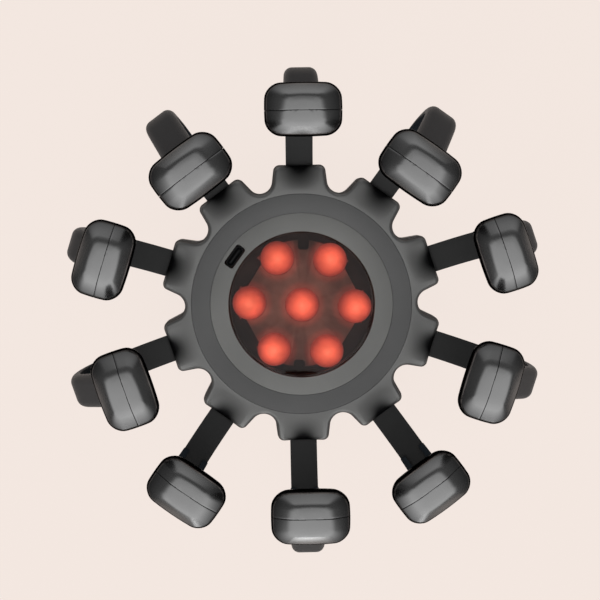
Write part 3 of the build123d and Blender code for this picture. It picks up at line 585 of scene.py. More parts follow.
def lens_polycarbonate():
    # smoke-tinted polycarbonate with a hard coat: dark and see-through under a weak, sharp gloss, which
    # only its outer faces have
    haze_size = 9.0
    m = new_material("Smoke_tinted_polycarbonate")
    smoke = settings("finish").lens
    place = add(m, "ShaderNodeTexCoord")
    haze = add(m, "ShaderNodeTexNoise", {"Scale": per_metre(haze_size), "Detail": 2.0},
               {"Vector": (place, "Object")})
    tone = add(m, "ShaderNodeValToRGB", None, {"Fac": (haze, "Fac")},
               [(0.35, tinted(smoke, 0.9)), (0.65, tinted(smoke, 1.08))])
    gloss = add(m, "ShaderNodeMapRange", {"To Min": 0.05, "To Max": 0.08}, {"Value": (haze, "Fac")})
    through = add(m, "ShaderNodeBsdfTransparent", None, {"Color": (tone, "Color")})
    shine = add(m, "ShaderNodeBsdfGlossy", {"Color": linear("#FFFFFF")}, {"Roughness": (gloss, "Result")})
    edge = add(m, "ShaderNodeFresnel", {"IOR": 1.36})
    side = add(m, "ShaderNodeNewGeometry")
    outer = add(m, "ShaderNodeMath", None, {0: (edge, "Fac"), 1: (side, "Backfacing")}, operation="SUBTRACT",
                use_clamp=True)
    mix = add(m, "ShaderNodeMixShader", None, {"Fac": (outer, "Value"), 1: (through, "BSDF"),
                                               2: (shine, "BSDF")})
    add(m, "ShaderNodeOutputMaterial", links={"Surface": (mix, "Shader")})
    return m


def lamp_glow():
    # frosted dome lit from inside: bright and orange in the middle, deep red at its edge, finely speckled
    look = settings("finish")
    speckle_size = 0.9
    m = new_material("Frosted_red_lamp")
    rim = add(m, "ShaderNodeAttribute", attribute_name="rim", attribute_type="GEOMETRY")
    place = add(m, "ShaderNodeTexCoord")
    speckle = add(m, "ShaderNodeTexNoise", {"Scale": per_metre(speckle_size), "Detail": 3.0},
                  {"Vector": (place, "Object")})
    shift = add(m, "ShaderNodeMapRange", {"To Min": -0.08, "To Max": 0.08}, {"Value": (speckle, "Fac")})
    edge = add(m, "ShaderNodeMath", None, {0: (rim, "Fac"), 1: (shift, "Result")}, operation="ADD")
    tone = add(m, "ShaderNodeValToRGB", None, {"Fac": (edge, "Value")},
               [(0.0, look.lamp), (0.45, linear("#E0664F")), (0.7, look.lamp_edge),
                (0.86, linear("#963D32")), (1.0, linear("#6C2C25"))])
    body = add(m, "ShaderNodeBsdfPrincipled", {"Roughness": 0.35, "Emission Strength": 2.6},
               {"Base Color": (tone, "Color"), "Emission Color": (tone, "Color")})
    add(m, "ShaderNodeOutputMaterial", links={"Surface": (body, "BSDF")})
    return m


def plate_plastic():
    # matt plate, slightly translucent: a painted red glow close to each lamp, painted shade towards its edge
    window, finish = settings("window"), settings("finish")
    m = moulded("Matt_reflector_plate", finish.plate, roughness=0.6, grain=0.5, depth=0.02, shade="edge",
                shade_colour=finish.plate_edge_shade, IOR=1.5)
    body = next(node for node in m.node_tree.nodes if node.type == "BSDF_PRINCIPLED")
    top = window.lamp_seat + window.lamp_base + window.plate_thickness
    place = add(m, "ShaderNodeTexCoord")
    nearest = None
    for x, y in lamp_places(window):
        apart = add(m, "ShaderNodeVectorMath", {1: (x * MM, y * MM, top * MM)}, {0: (place, "Object")},
                    operation="DISTANCE")
        if nearest:
            nearest = add(m, "ShaderNodeMath", None, {0: (nearest, "Value"), 1: (apart, "Value")},
                          operation="MINIMUM")
        else:
            nearest = apart
    # painted light: emission that stands for the lamps' red light on the plate, fading away from each lamp
    painted_halo = add(m, "ShaderNodeMapRange", {"From Min": window.lamp_radius * MM, "To Min": 1.0, "To Max": 0.0,
                                         "From Max": (window.lamp_radius + window.painted_halo) * MM},
               {"Value": (nearest, "Value")}, interpolation_type="SMOOTHSTEP")
    glow = add(m, "ShaderNodeValToRGB", None, {"Fac": (painted_halo, "Result")},
               [(0.0, linear("#000000")), (1.0, finish.painted_halo)])
    m.node_tree.links.new(glow.outputs["Color"], body.inputs["Emission Color"])
    body.inputs["Emission Strength"].default_value = 1.0
    return m


def port_steel():
    # the socket's drawn steel shell, dulled dark
    return moulded("Blackened_steel", linear("#161617"), roughness=0.4, grain=0.3, depth=0.01, Metallic=0.6)


def button_plastic():
    # satin ABS, a little glossier than the shell round it
    return moulded("Satin_ABS_button", settings("finish").trim, roughness=0.34, grain=0.3, depth=0.012,
                   IOR=1.53)


def inner_finishes():
    """Finishes of the parts inside the hub and the pods, by their slot."""
    return {
        # matt brown solder mask over woven glass fibre
        "board": moulded("Solder_masked_laminate", linear("#42302C"), roughness=0.45, grain=0.7,
                         depth=0.02, IOR=1.55),
        # aluminium-laminate pouch, dull with soft dents
        "cell": moulded("Pouch_cell_foil", linear("#B4B6B8"), roughness=0.35, grain=3.0, depth=0.15,
                        Metallic=0.9),
        # zinc-plated steel, bright with fine scratches
        "steel": moulded("Zinc_plated_steel", linear("#A9ABAC"), roughness=0.3, grain=0.3, depth=0.01,
                         Metallic=1.0),
        # black nylon housing of the switch
        "switch": moulded("Black_nylon", linear("#1C1C1C"), roughness=0.5, grain=0.4, depth=0.01,
                          IOR=1.53),
        # unpainted structural plastic
        "inner_plastic": moulded("Structural_ABS", linear("#3A3A3A"), roughness=0.5, grain=0.4,
                                 depth=0.02, IOR=1.53),
    }


def floor_paper():
    # pale paper, evenly lit, that keeps a light shadow of what stands on it
    m = new_material("Pale_paper")
    pale = settings("finish").floor
    ray = add(m, "ShaderNodeLightPath")
    seen = add(m, "ShaderNodeMath", None, {0: (ray, "Is Camera Ray"), 1: (ray, "Is Glossy Ray")},
               operation="MAXIMUM")
    seen = add(m, "ShaderNodeMath", None, {0: (seen, "Value"), 1: (ray, "Is Transmission Ray")},
               operation="MAXIMUM")
    own = add(m, "ShaderNodeMath", {1: settings("stage").own_light}, {0: (seen, "Value")},
              operation="MULTIPLY")
    matt = add(m, "ShaderNodeBsdfDiffuse", {"Color": pale})
    lit = add(m, "ShaderNodeEmission", {"Color": pale, "Strength": 1.0})
    mix = add(m, "ShaderNodeMixShader", None, {"Fac": (own, "Value"), 1: (matt, "BSDF"),
                                               2: (lit, "Emission")})
    add(m, "ShaderNodeOutputMaterial", links={"Surface": (mix, "Shader")})
    return m


# ---------------------------------------------------------------- the hub's outline
def lobe_half(hub, inset):
    """Half of a lobe's outline along +X, from its tip's middle to the notch's floor, drawn in by inset."""
    least_corner = hub.corner / 6
    least_beside_mouth = 0.4
    half = hub.tip_width / 2
    side = hub.flare
    place = (hub.notch_floor - hub.tip_radius * sin(side) - half * cos(side)) / (1 - sin(side + PITCH / 2))
    notch = place - hub.notch_floor + inset
    corner = max(hub.corner - inset, least_corner)
    tip = hub.tip_radius - inset
    middle = (tip - corner, half - (inset + corner) * (1 - sin(side)) / cos(side))
    root = (place * cos(PITCH / 2) - notch * sin(side), place * sin(PITCH / 2) - notch * cos(side))
    flank = (middle[0] + corner * sin(side), middle[1] + corner * cos(side))
    mouth = min(hub.mouth_half, middle[1] - least_beside_mouth)
    points = [(tip, beside) for beside in spaced(0.0, mouth, steps=6)]
    points += [(tip, mouth + (middle[1] - mouth) * beyond) for beyond in (0.06, 0.5)]
    points += [(middle[0] + corner * cos(a), middle[1] + corner * sin(a))
               for a in spaced(0.0, pi / 2 - side, steps=8)[:-1]]
    points += list(zip(spaced(flank[0], root[0], steps=6), spaced(flank[1], root[1], steps=6)))[:-1]
    centre = (place * cos(PITCH / 2), place * sin(PITCH / 2))
    first = atan2(root[1] - centre[1], root[0] - centre[0]) % (2 * pi)
    return points + [(centre[0] + notch * cos(a), centre[1] + notch * sin(a))
                     for a in spaced(first, PITCH / 2 + pi, steps=9)]


def lobed_columns(hub, inset):
    """The whole outline as places that know x, y, the radius, the place along and beside their lobe, and
    whether a strip's mouth is there."""
    half = lobe_half(hub, inset)
    lobe = [(x, -y) for x, y in reversed(half[1:-1])] + half
    columns = []
    for k in range(len(ARMS)):
        turn = arm_turn(k)
        for along, beside in lobe:
            x, y, _ = turn @ Vector((along, beside, 0))
            columns.append(SimpleNamespace(x=x, y=y, radius=hypot(x, y), along=along, beside=abs(beside),
                                           in_mouth=abs(beside) <= hub.mouth_half + HAIR / 2))
    return columns


def ring_loop(columns, radius, height):
    """Round loop with one point for each place of an outline."""
    return [(c.x * radius / c.radius, c.y * radius / c.radius, height) for c in columns]


def valley(hub, along, beside):
    """Depth of the valley over a strip at a place along and beside its lobe, from 0 to 1."""
    reach, deepening, rounding = 0.7, 1.2, 1.5
    run = clamped((along - hub.scoop_start) / (hub.tip_radius - hub.scoop_start))
    across = max(0.0, 1 - (beside / (hub.scoop_width * reach)) ** 2)
    return run ** deepening * across ** rounding


def skirt_height(hub, along, beside, radius):
    """Height of the face cover's top: a skirt that falls more and more steeply, with the valleys in it."""
    run = max(radius - hub.rim_radius, 0.0) / (hub.tip_radius - hub.rim_radius)
    return hub.height - hub.tip_drop * run ** 2 - hub.scoop_depth * valley(hub, along, beside)


def paint_shell_shade(piece, hub):
    """Gives a shell the attribute that paints shade into it, in the valleys round the strips and down its
    edge.
    """
    valley_shade, edge_shade = 1.4, 0.8
    edge_reach = 0.6 * hub.face_round

    def hollow(vertex):
        x, y, z = vertex.co / MM
        turn = (atan2(y, x) - pi / 2 + PITCH / 2) % PITCH - PITCH / 2
        radius = hypot(x, y)
        along, beside = radius * cos(turn), abs(radius * sin(turn))
        drop = skirt_height(hub, along, beside, radius) - z
        edge = edge_shade * clamped(drop / edge_reach) if radius > hub.rim_radius else 0.0
        return max(edge, min(1.0, valley_shade * valley(hub, along, beside)))

    mark(piece, "hollow", hollow)


def kink(x):
    """Zero before a kink and x after it, rounded off."""
    if abs(x) >= BACK_ROUND:
        return max(x, 0.0)
    return (x + BACK_ROUND) ** 2 / (4 * BACK_ROUND)


def back_height(hub, radius):
    """Height of the domed back."""
    first = hub.shoulder_height / (hub.back_shoulder - hub.back_flat)
    second = (hub.back_side - hub.shoulder_height) / (hub.tip_radius - hub.back_shoulder) - first
    return first * kink(radius - hub.back_flat) + second * kink(radius - hub.back_shoulder)


class MASSAGER_OT_face_cover(bpy.types.Operator):
    """Makes the lobed face cover with its valleys and the mouths of the strips"""
    bl_idname = "massager.face_cover"
    bl_label = "Face cover"

    def execute(self, context):
        hub, window = settings("hub"), settings("window")
        wall, rim_wall = 1.8, 1.1
        low, plate_low = hub.parting + FIT_GAP, hub.seat - hub.plate

        def underside(inset):
            return [(c.x, c.y, hub.mouth_top if c.in_mouth else low) for c in lobed_columns(hub, inset)]

        loops = [underside(hub.face_inset + wall), underside(hub.face_inset)]
        for a in spaced(0.0, pi / 2, steps=6):
            drop = hub.face_round * (1 - sin(a))
            loops.append([(c.x, c.y, skirt_height(hub, c.along, c.beside, c.radius) - drop)
                          for c in lobed_columns(hub, hub.face_inset + hub.face_round * (1 - cos(a)))])
        edge = lobed_columns(hub, hub.face_inset + hub.face_round)
        rows = 9
        for j in range(1, rows + 1):
            loop = []
            for c in edge:
                share = 1 + (hub.rim_radius / c.radius - 1) * j / rows
                height = skirt_height(hub, c.along * share, c.beside * share, c.radius * share)
                loop.append((c.x * share, c.y * share, height))
            loops.append(loop)
        ledge = window.lens_radius - window.lens_ledge
        loops += [ring_loop(edge, radius, height) for radius, height in (
            (hub.rim_radius, hub.seat), (ledge, hub.seat), (ledge, plate_low),
            (hub.rim_radius - rim_wall, plate_low))]
        cover = stacked("face_cover_shell", loops, closed=True)
        cut(cover, port_cutter(window, plate_low, hub.seat))
        smooth(cover, degrees=40)
        # painted shade in the valleys over the strips and down the edge
        paint_shell_shade(cover, hub)
        lacquer = shell_plastic("Satin_lacquered_ABS_face", settings("finish").shell)
        dress(cover, lacquer, "shell", "hub", "face_cover")
        return {"FINISHED"}


class MASSAGER_OT_rear_housing(bpy.types.Operator):
    """Makes the rear housing with its domed back and the button's hole"""
    bl_idname = "massager.rear_housing"
    bl_label = "Rear housing"

    def execute(self, context):
        hub = settings("hub")
        hole = hub.button_radius + hub.button_gap
        rows = 12

        def skin(inset, lift):
            """Loops from the parting down the side and over the back to the flat."""
            columns = lobed_columns(hub, inset)
            loops = [[(c.x, c.y, hub.mouth_floor if c.in_mouth else hub.parting) for c in columns]]
            for j in range(rows + 1):
                loop = []
                for c in columns:
                    radius = c.radius + (hub.back_flat - BACK_ROUND - c.radius) * j / rows
                    share = radius / c.radius
                    loop.append((c.x * share, c.y * share, back_height(hub, radius) + lift))
                loops.append(loop)
            return loops + [ring_loop(columns, hole, lift)]

        outer, inner = skin(0.0, 0.0), skin(hub.wall, hub.wall)
        housing = stacked("rear_housing_shell", outer + inner[::-1], closed=True)
        soften(housing, width=0.5, above=38)
        smooth(housing)
        # a darker copy of the shell lacquer: painted shade
        lacquer = shell_plastic("Satin_lacquered_ABS_back_shaded", settings("finish").back)
        dress(housing, lacquer, "shell", "hub", "rear_housing")
        return {"FINISHED"}


class MASSAGER_OT_button(bpy.types.Operator):
    """Makes the dished power button in the back"""
    bl_idname = "massager.button"
    bl_label = "Power button"

    def execute(self, context):
        hub = settings("hub")
        dish_share = 0.92
        flange_width, flange_thickness = 1.8, 1.2
        stem_radius, stem_length = 2.2, 0.4
        rim = hub.button_radius
        flange = hub.wall + FIT_GAP
        back = flange + flange_thickness
        ball = (rim ** 2 + hub.button_dish ** 2) / (2 * hub.button_dish)
        profile = [(r, hub.button_sink + sqrt(ball ** 2 - r ** 2) - ball + hub.button_dish)
                   for r in spaced(0.0, rim * dish_share, steps=11)]
        # the rounded rim, by how far each point lies inside it and above the face
        profile += [(rim - inside, hub.button_sink + above)
                    for inside, above in ((0.35, 0.04), (0.1, 0.12), (0.0, 0.4))]
        profile += [(rim, flange), (rim + flange_width, flange), (rim + flange_width, back),
                    (stem_radius, back), (stem_radius, back + stem_length), (0, back + stem_length)]
        button = spun("power_button_cap", profile)
        smooth(button, degrees=30)
        dress(button, button_plastic(), "button", "button", "power_button")
        return {"FINISHED"}


class MASSAGER_OT_rings(bpy.types.Operator):
    """Makes the trim ring and the bezel with its charging port"""
    bl_idname = "massager.rings"
    bl_label = "Trim ring and bezel"

    def execute(self, context):
        hub, window = settings("hub"), settings("window")
        top = hub.height + window.bezel_rise
        trim = spun("trim_ring_band", [(window.trim_inner, hub.seat), (window.trim_outer, hub.seat),
                                       (window.trim_outer, hub.height), (window.trim_inner, hub.height)],
                    steps=240)
        soften(trim, width=0.12)
        smooth(trim)
        dress(trim, trim_plastic(), "trim", "hub", "trim_ring")

        bezel = spun("lens_bezel_band", [(window.bezel_inner, hub.seat), (window.bezel_outer, hub.seat),
                                         (window.bezel_outer, hub.height), (window.bezel_inner, top)],
                     steps=240)
        cut(bezel, port_cutter(window, hub.seat, top))
        soften(bezel, width=0.12, above=30)
        smooth(bezel)
        dress(bezel, bezel_plastic(), "bezel", "hub", "lens_bezel")
        return {"FINISHED"}


def port_frame(window):
    """Place of the charging port: its length runs round the bezel."""
    return turned(window.port_angle) @ placed(window.port_radius) @ turned(pi / 2)


def port_cutter(window, low, high):
    """Cutter that opens a piece for the charging port between two heights."""
    outline = [rounded(window.port_length, window.port_width, window.port_corner, height)
               for height in (low - CUT_OVER, high + CUT_OVER)]
    return moved(stacked("port_cutter", outline), port_frame(window))


class MASSAGER_OT_socket(bpy.types.Operator):
    """Makes the charging socket: a drawn shell with its contact tongue"""
    bl_idname = "massager.socket"
    bl_label = "Charging socket"

    def execute(self, context):
        hub, window = settings("hub"), settings("window")
        share = (window.port_radius - window.lens_radius) / (window.bezel_outer - window.lens_radius)
        top = hub.height + window.bezel_rise * (1 - share) - window.socket_sink
        wall, end_flat = 0.3, 0.1
        floor, tongue_foot, tongue_top = window.lamp_seat + 1.6, window.lamp_seat + 1.5, top - 0.6
        tongue_length, tongue_thickness, tongue_corner = 6.7, 0.7, 0.2
        length, width = window.socket_length, window.socket_width
        corner = width / 2 - end_flat
        outer = [rounded(length, width, corner, height) for height in (window.lamp_seat, top)]
        inner = [rounded(length - 2 * wall, width - 2 * wall, corner - wall, height)
                 for height in (top, floor)]
        shell = stacked("usb_socket_shell", outer + inner)
        soften(shell, width=0.08, segments=2)
        tongue = stacked("tongue", [
            rounded(tongue_length, tongue_thickness, tongue_corner, height, side_steps=2)
            for height in (tongue_foot, tongue_top)])
        soften(tongue, width=0.08, segments=2)
        join(shell, tongue)
        moved(shell, port_frame(window))
        smooth(shell)
        dress(shell, port_steel(), "steel", "hub", "usb_socket")
        return {"FINISHED"}


def lamp_places(window):
    """Places (x, y) of the middle lamp and of the six round it."""
    places = [(window.lamp_right, window.lamp_shift)]
    for k in range(6):
        a = window.lamp_turn + k * pi / 3
        places.append((window.lamp_right + window.lamp_ring * cos(a),
                       window.lamp_shift + window.lamp_ring * sin(a)))
    return places


class MASSAGER_OT_window(bpy.types.Operator):
    """Makes the domed lens, the seven lamps under it and the plate round them"""
    bl_idname = "massager.window"
    bl_label = "Window"

    def execute(self, context):
        hub, window = settings("hub"), settings("window")
        self.make_lens(hub, window)
        self.make_lamps(window)
        self.make_plate(window)
        return {"FINISHED"}

    def make_lens(self, hub, window):
        """Dome of one thickness on a thick rim, rounded over at its edge."""
        rows, lift, rim_round = 14, 0.05, 0.7
        rim = window.lens_radius
        ledge, foot = rim - window.lens_ledge, hub.seat + lift
        ball = (rim ** 2 + window.lens_crown ** 2) / (2 * window.lens_crown)
        top = hub.height + window.bezel_rise + window.lens_crown

        def dome(r, radius):
            return top - ball + sqrt(radius ** 2 - r ** 2)

        inner = rim - HAIR - rim_round
        profile = [(rim - HAIR, foot)]
        profile += [(inner + rim_round * cos(a), dome(inner, ball) - rim_round * (1 - sin(a)))
                    for a in spaced(0.0, pi / 2, steps=7)[:-1]]
        profile += [(r, dome(r, ball)) for r in spaced(inner, 0.0, rows)]
        profile += [(r, dome(r, ball - window.lens_wall)) for r in spaced(0.0, ledge, rows)]
        profile += [(ledge, foot)]
        lens = spun("lens_dome", profile, steps=200)
        smooth(lens)
        dress(lens, lens_polycarbonate(), "window", "hub", "lens")

    def make_lamps(self, window):
        low, radius = window.lamp_seat, window.lamp_radius
        profile = [(0, low), (radius, low)]
        profile += [(radius * cos(a), low + window.lamp_base + radius * sin(a))
                    for a in spaced(0.0, pi / 2, steps=14)]
        lamp = spun("lamp", profile, steps=64)
        smooth(lamp, degrees=50)
        mark(lamp, "rim", lambda vertex: hypot(vertex.co.x, vertex.co.y) / (radius * MM))
        glow = lamp_glow()
        for k, (x, y) in enumerate(lamp_places(window)):
            dress(copied(lamp, f"lamp_{k + 1}", placed(x, y)), glow, "lamp", "hub", "lamps")
        bpy.data.objects.remove(lamp)

    def make_plate(self, window):
        """Plate with a hole for each lamp and six notches at its edge, with painted shade that darkens it
        towards that edge.
        """
        notch_corner, unshaded_radius, fade = 1.2, 20.0, 5.0
        low = window.lamp_seat + window.lamp_base
        high = low + window.plate_thickness
        rim, hole = window.plate_radius, window.lamp_radius + window.lamp_gap
        plate = spun("reflector_plate", [(0, low), (rim, low), (rim, high), (0, high)], steps=120)
        for x, y in lamp_places(window):
            cut(plate, stacked("hole", [[(x + hole * cos(a), y + hole * sin(a), z)
                                         for a in spaced(0.0, 2 * pi, steps=64)[:-1]]
                                        for z in (low - CUT_OVER, high + CUT_OVER)]))
        for k in range(6):
            width = window.slot_width if k % 3 == 1 else window.notch_width
            notch = stacked("notch", [rounded(2 * window.notch_depth, width, notch_corner, z)
                                      for z in (low - CUT_OVER, high + CUT_OVER)])
            cut(plate, moved(notch, placed(0, window.lamp_shift)
                             @ turned(window.lamp_turn + (k + 0.5) * pi / 3) @ placed(rim)))
        soften(plate, width=0.15, segments=2)
        smooth(plate)
        # painted shade: the plate darkens from a radius out to its edge
        mark(plate, "edge",
             lambda vertex: clamped((hypot(vertex.co.x, vertex.co.y) / MM - unshaded_radius) / fade))
        dress(plate, plate_plastic(), "reflector", "hub", "reflector")


# ---------------------------------------------------------------- arms, drawn along +X
def arm_point(arm, length, out=0.0):
    """Point (x, z) on an arm's line, by its length from the bend's start, moved out to the arm's back."""
    if length < 0:
        return arm.bend_start + length, arm.parting - out
    bend = arm.bend_radius * (pi / 2 + arm.lean)
    turn = min(length, bend) / arm.bend_radius
    beyond = max(length - bend, 0.0)
    x = arm.bend_start + (arm.bend_radius + out) * sin(turn) + beyond * cos(turn)
    z = arm.parting + arm.bend_radius - (arm.bend_radius + out) * cos(turn) + beyond * sin(turn)
    return x, z


def arm_settings():
    """The arms' sizes, with the length of the bend and those of the two kinds of arm, short and long."""
    arm = settings("arm")
    arm.parting = settings("hub").parting
    arm.bend = arm.bend_radius * (pi / 2 + arm.lean)
    arm.kinds = [arm.bend + arm.short_leg, arm.bend + arm.long_leg]
    return arm


def spread(start, stop, step):
    """Lengths from start to stop, no more than a step apart."""
    return spaced(start, stop, max(1, ceil((stop - start) / step - 0.001)))


def stations(arm, start, stop):
    """Lengths along an arm's line where a section is laid: close together on the bend."""
    marks = [start] + [mark for mark in (0.0, arm.bend) if start < mark < stop] + [stop]
    lengths = [start]
    for low, high in zip(marks, marks[1:]):
        lengths += spread(low, high, BEND_STEP if 0 <= low < arm.bend else STRAIGHT_STEP)[1:]
    return lengths


def swept(name, arm, section, lengths):
    """Piece whose section at a length, of (beside, out) points, is laid along an arm's line."""
    loops = []
    for length in lengths:
        loop = []
        for beside, out in section(length):
            x, z = arm_point(arm, length, out)
            loop.append((x, beside, z))
        loops.append(loop)
    return stacked(name, loops)


def slab(width, low, high, corner, steps=3):
    """Section of a flat bar between two offsets from the arm's line."""
    loop = rounded(width, high - low, corner, 0, corner_steps=steps, side_steps=4)
    return [(x, y + (low + high) / 2) for x, y, _ in loop]


def leg_width(arm, length):
    """Width of a leg, which flares from its mouth."""
    flared = arm.bend_radius * (arm.leg_start + arm.leg_flare)
    if length >= flared:
        return arm.leg_width
    mouth, full, here = (arm_point(arm, place)[0]
                         for place in (arm.bend_radius * arm.leg_start, flared, length))
    return arm.leg_mouth + (arm.leg_width - arm.leg_mouth) * (here - mouth) / (full - mouth)


def leg_section(arm, width, grow=0.0):
    """Outside of a leg's section, from the front's middle round its back."""
    half = width / 2 + grow
    corners = [(half, -arm.leg_front - grow, arm.leg_front_corner + grow, -pi / 2),
               (half, arm.leg_back + grow, arm.leg_back_corner + grow, 0.0)]
    points = []
    for beside, out, corner, first in corners:
        middle = (beside - corner, out + corner if first < 0 else out - corner)
        points += [(middle[0] + corner * cos(a), middle[1] + corner * sin(a))
                   for a in spaced(first, first + pi / 2, steps=8)]
    return points


def leg_outline(arm, length):
    """Section of a leg: its outside, and the channel behind the two lips that hold the strip."""
    outside = leg_section(arm, leg_width(arm, length))
    lip = arm.leg_window / 2
    slot = arm.strip_neck / 2 + arm.leg_gap
    high = arm.strip_thickness / 2 + arm.leg_gap
    cable = arm.ribbon_width / 2 + arm.leg_gap
    roof = high + arm.ribbon_thickness + arm.leg_gap
    inside = [(cable, roof), (cable, high), (slot, high), (slot, -high), (lip, -high), (lip, -arm.leg_front)]
    left_outside = [(-x, y) for x, y in reversed(outside)]
    left_inside = [(-x, y) for x, y in reversed(inside)]
    return outside + left_outside + left_inside + inside


class MASSAGER_OT_strips(bpy.types.Operator):
    """Makes the ten spring strips and the flat cables along their backs"""
    bl_idname = "massager.strips"
    bl_label = "Spring strips"

    def execute(self, context):
        arm = arm_settings()
        half = arm.strip_thickness / 2
        roof = half + arm.leg_gap
        band, neck = (slab(width, -half, half, corner=0.18) for width in (arm.strip_width, arm.strip_neck))
        cable = slab(arm.ribbon_width, roof, roof + arm.ribbon_thickness, corner=0.1, steps=2)
        shoulder = arm.bend_radius * arm.leg_start - arm.shoulder_gap
        strips, ribbons = [], []
        for kind, stop in enumerate(arm.kinds):
            stop -= arm.leg_inset + arm.leg_gap
            strip = swept(f"strip_{kind}", arm, lambda length: band if length <= shoulder else neck,
                          stations(arm, arm.strip_root - arm.bend_start, shoulder)
                          + stations(arm, shoulder + HAIR, stop))
            ribbon = swept(f"ribbon_{kind}", arm, lambda length: cable,
                           stations(arm, arm.ribbon_root - arm.bend_start, stop))
            smooth(strip)
            smooth(ribbon)
            strips.append(strip)
            ribbons.append(ribbon)
        tip = settings("hub").tip_radius
        kinds = ((strips, "strip", strip_coating(), "arm_strips"),
                 (ribbons, "ribbon", ribbon_film(), "arm_ribbons"))
        for k, number in enumerate(ARMS):
            turn = arm_turn(k)
            for stock, name, material, node in kinds:
                piece = copied(stock[k % 2], f"{name}_{number}", turn)
                coat(piece, material)
                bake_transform(piece)
                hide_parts(node)
        for piece in strips + ribbons:
            bpy.data.objects.remove(piece)
        return {"FINISHED"}


class MASSAGER_OT_legs(bpy.types.Operator):
    """Makes the ten curved legs that clip round the strips"""
    bl_idname = "massager.legs"
    bl_label = "Legs"

    def execute(self, context):
        arm = arm_settings()
        legs = []
        for kind, stop in enumerate(arm.kinds):
            leg = swept(f"leg_kind_{kind}", arm, lambda length: leg_outline(arm, length),
                        stations(arm, arm.bend_radius * arm.leg_start, stop - arm.leg_inset))
            soften(leg, width=0.25, above=50)
            smooth(leg, degrees=35)
            legs.append(leg)
        lacquer = leg_plastic()
        for k, number in enumerate(ARMS):
            piece = copied(legs[k % 2], f"leg_shell_{number}", arm_turn(k))
            dress(piece, lacquer, "leg", f"arm_{number}", f"leg_{number}")
        for leg in legs:
            bpy.data.objects.remove(leg)
        return {"FINISHED"}


def eased(levels, reaches, steps=6):
    """Levels of a stack, with each one between the ends rounded off within its reach."""
    rows = [levels[0]]
    for before, here, after, reach in zip(levels, levels[1:], levels[2:], reaches):
        first = here.lerp(before, min(0.5, reach / (before - here).length))
        last = here.lerp(after, min(0.5, reach / (after - here).length))
        for i in range(steps + 1):
            t = i / steps
            rows.append(first.lerp(here, t).lerp(here.lerp(last, t), t))
    return rows + [levels[-1]]


class MASSAGER_OT_pods(bpy.types.Operator):
    """Makes the ten glossy pods, each of two halves that meet at a seam"""
    bl_idname = "massager.pods"
    bl_label = "Pods"

    # the contact face's crown: how far below its middle, then shares of its depth, width and corner
    CROWN = ((0.35, 1.0, 1.0, 1.0), (0.1, 0.6, 0.65, 0.7), (0.0, 0.2, 0.3, 0.4))
    # how far a pod is rounded off at each of its levels from the waist up
    REACHES = (2.0, 1.6, 1.8, 3.6, 1.5)

    def execute(self, context):
        arm, pod = arm_settings(), settings("pod")
        lacquer = pod_plastic()
        for kind, centre in enumerate(arm.kinds):
            x, z = arm_point(arm, centre)
            frame_at = placed(x, 0, z) @ Matrix.Rotation(-pod.tilt, 4, "Y")
            whole_leg = leg_section(arm, arm.leg_width, pod.leg_gap)
            whole_leg += [(-beside, out) for beside, out in reversed(whole_leg)]
            leg_hole = swept("leg_hole", arm, lambda length: whole_leg,
                             stations(arm, arm.bend * 0.7, centre - arm.leg_inset))
            for side, name in ((-1, "inner"), (1, "outer")):
                half = sliced(self.whole(pod), side * pod.seam_gap / 2 - pod.seam_place, side)
                moved(half, frame_at)
                cut(half, copied(leg_hole, "cutter", placed()))
                soften(half, width=0.16, segments=2, above=50)
                smooth(half, degrees=30)
                # painted shade from the shoulder down, and a dark seam
                self.paint_rim_shade(half, pod, frame_at.inverted())
                if side < 0:
                    lip = self.lip(pod, frame_at)
                    cut(lip, copied(leg_hole, "cutter", placed()))
                    smooth(lip, degrees=30)
                    # the lip, seen in the seam, takes the dark seam colour all over
                    mark(lip, "rim", lambda vertex: 1.0)
                    join(half, lip)
                for k in range(kind, len(ARMS), 2):
                    number = ARMS[k]
                    piece = copied(half, f"pod_{name}_shell_{number}", arm_turn(k))
                    dress(piece, lacquer, "pod", f"arm_{number}", f"pod_{name}_{number}")
                bpy.data.objects.remove(half)
            bpy.data.objects.remove(leg_hole)
        return {"FINISHED"}

    def lip(self, pod, frame_at):
        """Lip of the inner half that closes the seam from inside."""
        root = 0.6
        lip = sliced(self.whole(pod, pod.lip_share), pod.seam_gap / 2 - pod.seam_place + HAIR, -1)
        return moved(sliced(lip, -pod.seam_place - root, 1), frame_at)

    def whole(self, pod, share=1.0):
        """A pod in one piece about its own middle, drawn at a share of its size."""
        levels = [Vector(level) for level in (
            (pod.foot_place, -pod.foot_below, pod.foot_depth, pod.foot_width, pod.foot_corner),
            (0.0, -pod.waist_below, pod.waist_depth, pod.waist_width, pod.corner),
            (0.0, 0.0, pod.depth, pod.width, pod.corner),
            (0.0, pod.shoulder_height, pod.shoulder_depth, pod.shoulder_width, pod.shoulder_corner),
        )]
        levels += [Vector((0.0, pod.face_height - below, pod.face_depth * depth, pod.face_width * width,
                           pod.face_corner * corner)) for below, depth, width, corner in self.CROWN]
        loops = []
        for place, height, depth, width, corner in eased(levels, self.REACHES):
            fall = clamped(height / pod.shoulder_height)
            loops.append([(share * (x + place), share * y,
                           share * (z - fall * (pod.droop * (2 * y / pod.width) ** 2
                                                + pod.sag * (2 * x / pod.depth) ** 2)))
                          for x, y, z in rounded(depth, width, corner, height, bow=pod.bow)])
        return stacked("pod", loops)

    def paint_rim_shade(self, piece, pod, to_pod):
        """Gives a pod the attribute that paints shade into it from its shoulder down, and darkens its seam.
        """
        start, fade = 1.1, 0.4      # as shares of the shoulder's height
        seam_reach, seam_facing = pod.seam_gap / 2 + 0.12, 0.35

        def rim(vertex):
            x, _, z = (to_pod @ vertex.co) / MM
            facing = abs((to_pod.to_3x3() @ vertex.normal).x)
            in_seam = abs(x + pod.seam_place) < seam_reach and facing > seam_facing
            return 1.0 if in_seam else clamped((start - z / pod.shoulder_height) / fade)

        mark(piece, "rim", rim)


